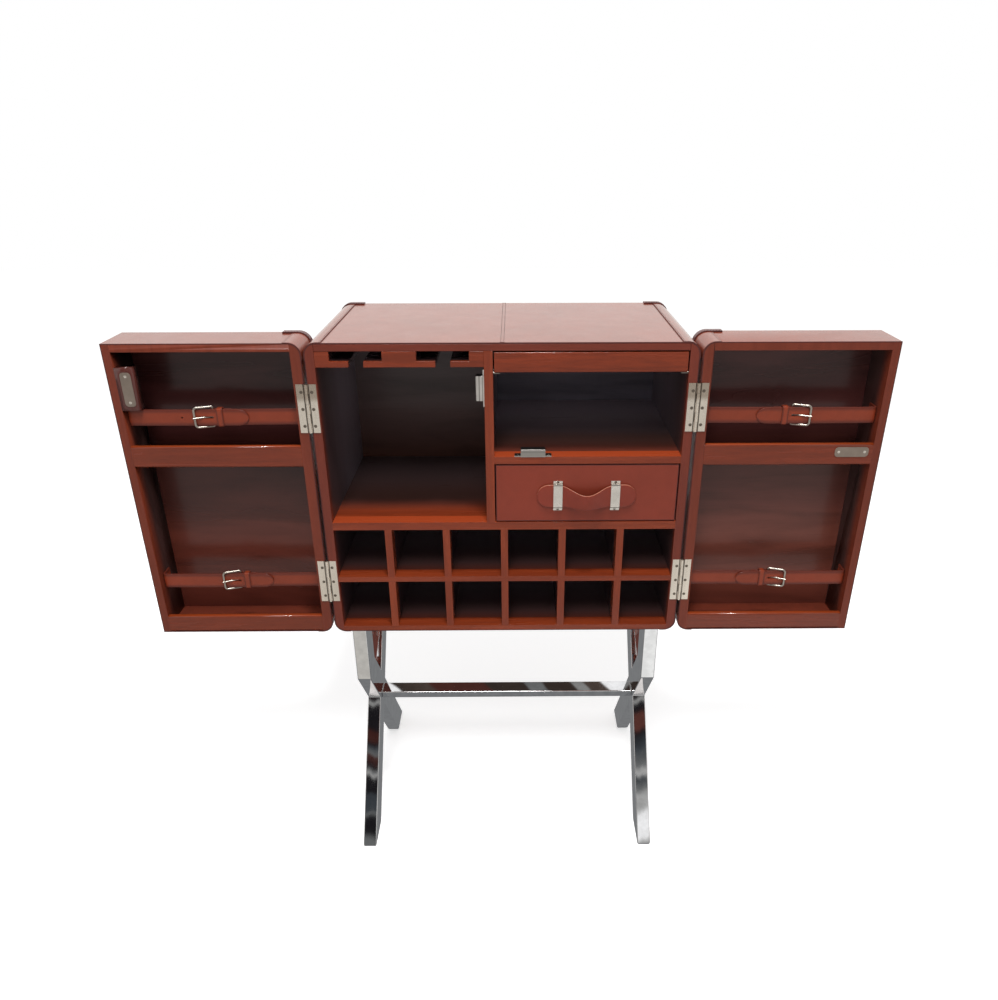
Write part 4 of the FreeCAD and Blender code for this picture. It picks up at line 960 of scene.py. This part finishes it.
def applyCut(mesh, cutter):
    # the mesh without what lies inside the cutter
    outwards(mesh)
    outwards(cutter)
    target = bpy.data.objects.new("cutTarget", mesh)
    tool = bpy.data.objects.new("cutTool", cutter)
    for thing in (target, tool):
        bpy.context.collection.objects.link(thing)
    cut = target.modifiers.new("punch", "BOOLEAN")
    cut.operation = "DIFFERENCE"
    cut.solver = "EXACT"
    cut.object = tool
    bpy.context.view_layer.update()
    graph = bpy.context.evaluated_depsgraph_get()
    result = bpy.data.meshes.new_from_object(target.evaluated_get(graph))
    bpy.data.objects.remove(target)
    bpy.data.objects.remove(tool)
    return result


def rimAttribute(mesh, values):
    # 1 at the cut edges of the leather, 0 in the middle of its faces
    layer = mesh.attributes.new("rim", "FLOAT", "POINT")
    layer.data.foreach_set("value", values)


def toDoor(points, place):
    # from door places (u, y, z) to the shared frame
    hingeX, side = place[:2]
    points = points.copy()
    points[..., 0] = hingeX + side * points[..., 0]
    return points


def bandMesh(name, points, rim, place, closed=False):
    # a tube of rings from door places, with the rim values of one ring on every ring
    mesh = tubeMesh(name, toDoor(points, place), closed)
    rimAttribute(mesh, np.tile(rim, points.shape[0]))
    return mesh


def joinMeshes(name, meshes):
    # one mesh of separate shells
    form = bmesh.new()
    for mesh in meshes:
        form.from_mesh(mesh)
    joined = bpy.data.meshes.new(name)
    form.to_mesh(joined)
    form.free()
    return joined


def makeStraps(door):
    # two straps on each door, each with a punched long end, a buckle end with its eye, and a keeper
    place = doorPlace(door)
    width, frontY = place[2:]
    s = strap
    front = frontY + s["setback"]
    back = front + s["thick"]
    reach = s["eyeReach"]
    meshes = []
    for level, height in zip(("lower", "upper"), strapHeights(door)):
        points, rim = longEnd(height, width, frontY)
        longStrap = bandMesh("longEnd", points, rim, place)
        holes = [s["prongHole"]]
        if door == "left_door" and level == "upper":
            holes.append(s["spareHole"])
        for start, end, half in holes:
            punch = cutHole("punch", start, end, half, height, (front - mm, back + mm), place)
            longStrap = applyCut(longStrap, punch)
        points, rim = buckleEnd(height, width, frontY)
        short = bandMesh("buckleEnd", points, rim, place)
        eye = cutHole("eye", s["heel"] - reach, s["heel"] + reach + s["eyeOver"], s["eyeHalf"], height,
                      (back - mm, back + s["heelDrop"] + reach), place)
        short = applyCut(short, eye)
        points, rim = keeperRing(height, frontY)
        ring = bandMesh("keeper", points, rim, place, True)
        outwards(ring)
        meshes += [longStrap, short, ring]
    mesh = joinMeshes(door + "_leather_straps", meshes)
    addPiece(door + "_leather_straps", mesh, door, "strapLeather", (door + "_straps",), 50.0)


# Drawer handle

handle = {
    "length": 164 * mm,
    "height": 40 * mm,
    "thick": 4 * mm,
    "bow": 14 * mm,
    "bowHalf": 40 * mm,
    "dip": 14.5 * mm,
    "waistShare": 0.80,
    "waistPower": 0.85,
    "clear": 0.15 * mm,
    "sectionPower": 7.0,
    "endThin": 0.35,
    "endOpen": 0.9995,
    "flatShare": 0.72,
    "endShare": 0.97,
}


def makeHandle():
    # a flat section carried along x: half circles at both ends, a cosine waist cut into the top edge,
    # and a cosine bow away from the drawer between the brackets
    h = handle
    low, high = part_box("drawer_handle")
    centreX, frontY = (low.x + high.x) / 2, high.y
    middleZ = low.z + h["height"] / 2
    lobe = h["height"] / 2
    reach = h["length"] / 2 - lobe
    turn = np.linspace(-pi / 2, pi / 2, 25)
    left, right = -reach + lobe * np.sin(turn[:12]), reach + lobe * np.sin(turn[13:])
    x = np.concatenate([left, np.linspace(-reach, reach, 73), right])
    over = np.clip(np.abs(x) - reach, 0, lobe * h["endOpen"])
    half = np.sqrt(lobe ** 2 - over ** 2)
    share = np.clip(np.abs(x) / (reach * h["waistShare"]), 0, 1)
    waist = h["dip"] * (0.5 + 0.5 * np.cos(pi * share)) ** h["waistPower"]
    top = middleZ + half - waist
    bottom = middleZ - half
    bow = h["bow"] * np.where(np.abs(x) < h["bowHalf"], 0.5 + 0.5 * np.cos(pi * x / h["bowHalf"]), 0)
    across, up = superSection(36, 1.0, 1.0, h["sectionPower"])
    z = (top + bottom)[:, None] / 2 + across[None, :] * (top - bottom)[:, None] / 2
    thick = (h["thick"] - h["clear"]) / 2 * np.minimum(1, half / lobe + h["endThin"])
    y = frontY - h["clear"] - bow[:, None] - h["thick"] / 2 - up[None, :] * thick[:, None]
    points = np.dstack([np.broadcast_to((centreX + x)[:, None], z.shape), y, z])
    mesh = tubeMesh("handle", points)
    edgeFace = np.where(np.abs(up) < h["flatShare"], 1.0, 0.0)
    rim = np.tile(np.abs(across) ** 10 * edgeFace, len(x))
    ends = np.repeat(np.abs(x) > reach + lobe * h["endShare"], len(across))
    rim[ends] = np.tile(edgeFace, len(x))[ends]
    rimAttribute(mesh, rim)
    outwards(mesh)
    addPiece("handle_leather", mesh, "drawer", "handleLeather", ("drawer_handle",), 60.0)


# Stitching

stitch = {
    "length": 3.1 * mm,
    "pitch": 4.6 * mm,
    "width": 0.8 * mm,
    "height": 0.55 * mm,
    "around": 6,
    "rings": ((-0.5, 0.25), (-0.36, 0.85), (0.0, 1.0), (0.36, 0.85), (0.5, 0.25)),
    "inset": 2.6 * mm,
    "seam": 2.4 * mm,
    "sunk": 0.4 * mm,
    "fromFront": 3 * mm,
    "lookAhead": 0.1 * mm,
}


def stitchForm():
    # one stitch of unit size: a short grain of thread, in rings that swell in the middle
    along, swell = np.array(stitch["rings"]).T
    turn = np.linspace(0, 2 * pi, stitch["around"], endpoint=False)
    side = np.cos(turn)[None, :] * swell[:, None] / 2
    rise = np.sin(turn)[None, :] * swell[:, None] / 2
    return np.dstack([np.broadcast_to(along[:, None], side.shape), side, rise]).reshape(-1, 3)


def alongPath(at, run, values):
    # the values at lengths along a path whose points are at the lengths in run
    return np.stack([np.interp(at, run, values[:, axis]) for axis in range(3)], axis=1)


def stitchRow(path, normals):
    # walks the path at even steps and lays one stitch at each, along the path and out along the normal
    run = np.r_[0, np.cumsum(np.linalg.norm(np.diff(path, axis=0), axis=1))]
    count = max(2, int(run[-1] / stitch["pitch"]))
    at = (np.arange(count) + 0.5) * run[-1] / count
    step = stitch["lookAhead"]
    spots = alongPath(at, run, path)
    out = alongPath(at, run, normals)
    along = alongPath(at + step, run, path) - alongPath(at - step, run, path)
    along /= np.linalg.norm(along, axis=1, keepdims=True)
    out -= along * np.sum(out * along, axis=1, keepdims=True)
    out /= np.linalg.norm(out, axis=1, keepdims=True)
    side = np.cross(out, along)
    form = stitchForm() * np.array([stitch["length"], stitch["width"], stitch["height"]])
    frameOf = np.stack([along, side, out], axis=1)
    return spots[:, None, :] + np.einsum("kc,ncd->nkd", form, frameOf)


def addStitches(name, rows, body):
    # every stitch has the faces of one tube with closed ends, moved on by the corners before it
    points = np.concatenate(rows)
    rings, around = len(stitch["rings"]), stitch["around"]
    corners = rings * around
    moved = corners * np.arange(len(points))[:, None, None]
    sides = np.array(gridFaces(rings, around, closeColumns=True))
    ends = np.array([range(around), range(corners - 1, corners - 1 - around, -1)])
    faces = (sides + moved).reshape(-1, 4).tolist() + (ends + moved).reshape(-1, around).tolist()
    mesh = buildMesh(name, points, faces)
    outwards(mesh)
    addPiece(name, mesh, body, "thread")


def straightRow(start, end, normal):
    return stitchRow(np.array([start, end], dtype=float), np.array([normal, normal], dtype=float))


capShape = {
    "reach": 44 * mm,
    "rim": 12 * mm,
    "proud": 1.5 * mm,
    "radius": 20 * mm,
    "edge": 9 * mm,
}


def capRows(corner, signs):
    # stitches just inside a cap's edges: a quarter circle on the back face, and a row along the rim,
    # over the rounded corner from the top or bottom face to the side. signs say which way the body
    # lies from the corner along x and z.
    proud, radius = capShape["proud"], capShape["radius"]
    reach = capShape["reach"] - stitch["inset"]
    start = np.arcsin(capShape["edge"] / reach)
    angle = np.linspace(start, pi / 2 - start, 24)
    turned = np.array([signs[0], 1.0, signs[1]])
    back = np.stack([reach * np.cos(angle), np.full_like(angle, proud), reach * np.sin(angle)], axis=1)
    turn = np.linspace(0, pi / 2, 16)
    outer = radius + proud
    x = np.r_[reach, radius - outer * np.sin(turn), -proud]
    z = np.r_[-proud, radius - outer * np.cos(turn), reach]
    path = np.stack([x, np.full_like(x, stitch["inset"] - capShape["rim"]), z], axis=1)
    normalX = np.r_[0.0, -np.sin(turn), -1.0]
    normalZ = np.r_[-1.0, -np.cos(turn), 0.0]
    normals = np.stack([normalX, np.zeros_like(x), normalZ], axis=1)
    return [stitchRow(np.array(corner) + back * turned, np.tile([0.0, 1.0, 0.0], (len(angle), 1))),
            stitchRow(np.array(corner) + path * turned, normals * turned)]


def makeStitching():
    # the seam along the top, both edge bands and the four caps of the body
    low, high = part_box("leather_bands")
    front, rear = low.y + stitch["fromFront"], high.y - capShape["rim"]
    within = bandWidth - stitch["inset"]
    rows = []
    seamTop = high.z - stitch["sunk"]
    for side in (-1, 1):
        x = side * stitch["seam"]
        rows.append(straightRow((x, low.y, seamTop), (x, high.y, seamTop), (0, 0, 1)))
        x = side * (high.x - within)
        rows.append(straightRow((x, front, high.z), (x, rear, high.z), (0, 0, 1)))
        x = side * high.x
        for z in (high.z - within, low.z + within):
            rows.append(straightRow((x, front, z), (x, rear, z), (side, 0, 0)))
        for z, up in ((high.z, -1), (low.z, 1)):
            rows += capRows((x, high.y, z), (-side, up))
    addStitches("body_stitching", rows, "cabinet")


def makeDoorStitching(door):
    # the edge band and both caps on the hinge side of a door
    low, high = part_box(door + "_leather")
    hingeX, side = doorPlace(door)[:2]
    rows = []
    x = hingeX + side * (bandWidth - stitch["inset"])
    front, rear = low.y + stitch["fromFront"], high.y - capShape["rim"]
    for z, up in ((high.z, -1), (low.z, 1)):
        rows.append(straightRow((x, front, z), (x, rear, z), (0, 0, -up)))
        rows += capRows((hingeX, high.y, z), (side, up))
    addStitches(door + "_stitching", rows, door)


# Stage

stageLook = {
    "floorHalf": 7.0,
    "floorRows": 9,
    "floorRoughness": 0.9,
    "floorColour": (0.86, 0.86, 0.86),
    "floorLift": (0.5, 0.5, 0.5),
    "skyTone": (1.0, 1.0, 1.0),
    "glossySkyTone": (1.0, 0.955, 0.92),
    "fill": 0.60,
    "keyPower": 34.0,
    "keyPlace": (-0.2, -1.70, 3.0),
    "keyTarget": (0, 0, 0.6),
    "keySize": 0.9,
    "topPower": 42.0,
    "topPlace": (0.1, -0.70, 3.0),
    "topTarget": (0, 0, 0.7),
    "topSize": 0.3,
}


def makeLight(name, place, target, size, power):
    # a round lamp that looks at its target
    lamp = bpy.data.lights.new(name, "AREA")
    lamp.energy = power
    lamp.shape = "DISK"
    lamp.size = size
    light = bpy.data.objects.new(name, lamp)
    bpy.context.collection.objects.link(light)
    light.location = place
    light.rotation_euler = (Vector(target) - Vector(place)).to_track_quat("-Z", "Y").to_euler()


def lensRays(paint):
    # 1 for rays from the camera, off a mirror or through glass, 0 for the rays that carry light
    kinds = ("Is Camera Ray", "Is Glossy Ray", "Is Transmission Ray")
    return paint.any([paint.node("ShaderNodeLightPath", output=kind) for kind in kinds])


def addStagePiece(name, points, paint, flip=False):
    # a grid of the stage, outside the object
    faces = gridFaces(*points.shape[:2])
    mesh = buildMesh(name, points, [face[::-1] for face in faces] if flip else faces)
    mesh.materials.append(paint.owner)
    piece = bpy.data.objects.new(name, mesh)
    bpy.context.collection.objects.link(piece)
    return piece


def makeFloor():
    # a pale floor, lifted towards white for the lens and in mirrors
    s = stageLook
    across = np.linspace(-s["floorHalf"], s["floorHalf"], s["floorRows"])
    x, y = np.meshgrid(across, across, indexing="ij")
    paint = newPaint("studioFloor")
    lift = paint.blend(lensRays(paint), (0, 0, 0), s["floorLift"])
    paint.finish(s["floorColour"], s["floorRoughness"], **{"Emission Color": lift, "Emission Strength": 1.0})
    addStagePiece("studioFloor", np.dstack([x, y, np.zeros_like(x)]), paint, flip=True)


def makeSky():
    # white for the lens, a little warm in reflections, and weaker where it lights the object
    s = stageLook
    world = bpy.data.worlds.new("studioWorld")
    bpy.context.scene.world = world
    sky = Paint(world)
    background = sky.nodes["Background"]
    glossy = sky.node("ShaderNodeLightPath", output="Is Glossy Ray")
    sky.feed(background.inputs["Color"], sky.blend(glossy, s["skyTone"], s["glossySkyTone"]))
    sky.feed(background.inputs["Strength"], lensRays(sky) * (1 - s["fill"]) + s["fill"])


# Cards round the object, as a photographer's flags: only the shine on metal and leather shows them.
# middle, near, under and heights are the two ends of a soft change, in metres. The bands of the
# upright cards run from 0 to 1: a place, its tone, and the share of that tone where it is darker.

cardTones = {
    "under": (0.20, 0.205, 0.21),
    "far": (0.62, 0.61, 0.59),
    "paleLeft": (0.56, 0.54, 0.50),
    "paleRight": (0.95, 0.95, 0.93),
    "room": (0.030, 0.030, 0.032),
    "brown": (0.13, 0.045, 0.036),
    "black": (0.012, 0.011, 0.013),
    "slate": (0.045, 0.052, 0.060),
    "grey": (0.15, 0.155, 0.155),
    "light": (0.42, 0.42, 0.41),
    "white": (1.0, 1.0, 1.0),
    "back": (0.075, 0.055, 0.046),
}
floorCard = {
    "place": (0.0, 0.0, 0.0005),
    "size": (14.0, 14.0),
    "upright": False,
    "middle": (-0.2, 0.2),
    "near": (-1.0, -0.8),
    "under": (-0.46, -0.40),
}
frontCard = {
    "place": (0.0, -3.2, 1.9),
    "size": (8.0, 3.0),
    "upright": True,
    "middle": (-0.15, 0.15),
    "heights": (0.4, 3.4),
    "stir": 0.14,
    "stirStretch": (0.8, 1, 1),
    "stirScale": 2.2,
    "left": (
        (0.0, "room"), (0.320, "grey"), (0.335, "black"), (0.372, "black"), (0.383, "grey"),
        (0.389, "slate"), (0.424, "slate"), (0.430, "black"), (0.457, "black"), (0.464, "light"),
        (0.471, "grey"), (0.478, "black"), (0.500, "brown", 0.5), (0.505, "grey"), (0.520, "slate"),
        (0.526, "black"), (0.537, "brown", 0.4), (0.558, "brown", 0.4), (0.564, "black"),
        (0.624, "black"), (0.632, "light"), (0.641, "black"), (0.75, "brown"), (1.0, "brown")),
    "right": (
        (0.0, "room"), (0.302, "grey"), (0.316, "light"), (0.328, "white"), (0.370, "white"),
        (0.384, "light"), (0.414, "light"), (0.428, "grey"), (0.452, "slate"), (0.460, "light"),
        (0.470, "light"), (0.478, "grey"), (0.520, "slate"), (0.556, "black"), (0.566, "brown", 0.8),
        (0.598, "brown", 0.8), (0.606, "black"), (0.624, "black"), (0.632, "light"), (0.641, "black"),
        (0.75, "brown"), (1.0, "brown")),
}
backCard = {
    "place": (0.0, 0.45, 0.60),
    "size": (0.9, 0.30),
    "upright": True,
    "halfSpan": 0.38,
    "slant": 0.8,
    "stir": 0.10,
    "stirScale": 5.0,
    "across": (
        (0.0, "white"), (0.095, "white"), (0.105, "back", 0.55), (0.24, "back"), (0.26, "brown", 0.55),
        (0.44, "brown", 0.55), (0.45, "back", 0.55), (0.575, "back", 0.55), (0.585, "grey"),
        (0.655, "grey"), (0.665, "back", 0.55), (0.765, "back", 0.55), (0.77, "light", 0.6),
        (0.81, "light", 0.6), (0.82, "back"), (0.885, "back"), (0.895, "white"), (1.0, "white")),
}


def cardRamp(paint, value, bands):
    # bands of cardTones as a ramp over the value
    stops = [(place, shade(cardTones[tone], share[0] if share else 1.0)) for place, tone, *share in bands]
    return paint.ramp(value, stops)


def makeCard(name, look, paint, tone):
    # a flat grid that gives its tone as light and reflects nothing; only shiny surfaces see it
    u, v = np.meshgrid(*(np.linspace(-side / 2, side / 2, 5) for side in look["size"]), indexing="ij")
    flat = np.zeros_like(u)
    points = np.dstack([u, flat, v] if look["upright"] else [u, v, flat]) + np.array(look["place"])
    paint.finish((0, 0, 0), **{"Specular IOR Level": 0.0, "Emission Strength": 1.0, "Emission Color": tone})
    card = addStagePiece(name, points, paint)
    for way in ("camera", "diffuse", "transmission", "volume_scatter", "shadow"):
        setattr(card, "visible_" + way, False)


def makeFloorCard():
    # dark under the cabinet, and paler to the right in front of it
    look = floorCard
    paint = newPaint("floorCard")
    x, y = paint.along(0), paint.along(1)
    pale = paint.blend(paint.smooth(x, *look["middle"]), cardTones["paleLeft"], cardTones["paleRight"])
    ahead = paint.blend(paint.smooth(y, *look["near"]), cardTones["far"], pale)
    tone = paint.blend(paint.smooth(y, *look["under"]), ahead, cardTones["under"])
    makeCard("floorCard", look, paint, tone)


def makeFrontCard():
    # bands over the height, with a little stir, and one set of them on each side
    look = frontCard
    paint = newPaint("frontCard")
    stir = paint.noise(paint.place(look["stirStretch"]), look["stirScale"], 2.0)
    height = paint.along(2) + stir * look["stir"] - look["stir"] / 2
    height = paint.smooth(height, *look["heights"], "LINEAR")
    left, right = (cardRamp(paint, height, look[side]) for side in ("left", "right"))
    tone = paint.blend(paint.smooth(paint.along(0), *look["middle"]), left, right)
    makeCard("frontCard", look, paint, tone)


def makeBackCard():
    # the bands lean over, so they follow x less a share of the height above the card's middle
    look = backCard
    paint = newPaint("backCard")
    x, z = paint.along(0), paint.along(2)
    stir = paint.noise(paint.place(), look["stirScale"], 2.0)
    across = x - (z - look["place"][2]) * look["slant"] + stir * look["stir"] - look["stir"] / 2
    across = paint.smooth(across, -look["halfSpan"], look["halfSpan"], "LINEAR")
    makeCard("backCard", look, paint, cardRamp(paint, across, look["across"]))


def makeStage():
    s = stageLook
    makeFloor()
    makeSky()
    makeFloorCard()
    makeFrontCard()
    makeBackCard()
    for lamp in ("key", "top"):
        makeLight(lamp + "Light", s[lamp + "Place"], s[lamp + "Target"], s[lamp + "Size"], s[lamp + "Power"])
    bpy.context.scene.view_settings.view_transform = "Standard"


makeCamera(cameraView)
print("camera placed")
makeStage()
print("stage and lights placed")
dressNodes()
print("boards, leather and bars dressed")
for door in ("left_door", "right_door"):
    makeStraps(door)
print("straps made")
makeHandle()
print("handle made")
makeStitching()
for door in ("left_door", "right_door"):
    makeDoorStitching(door)
print("stitching made")
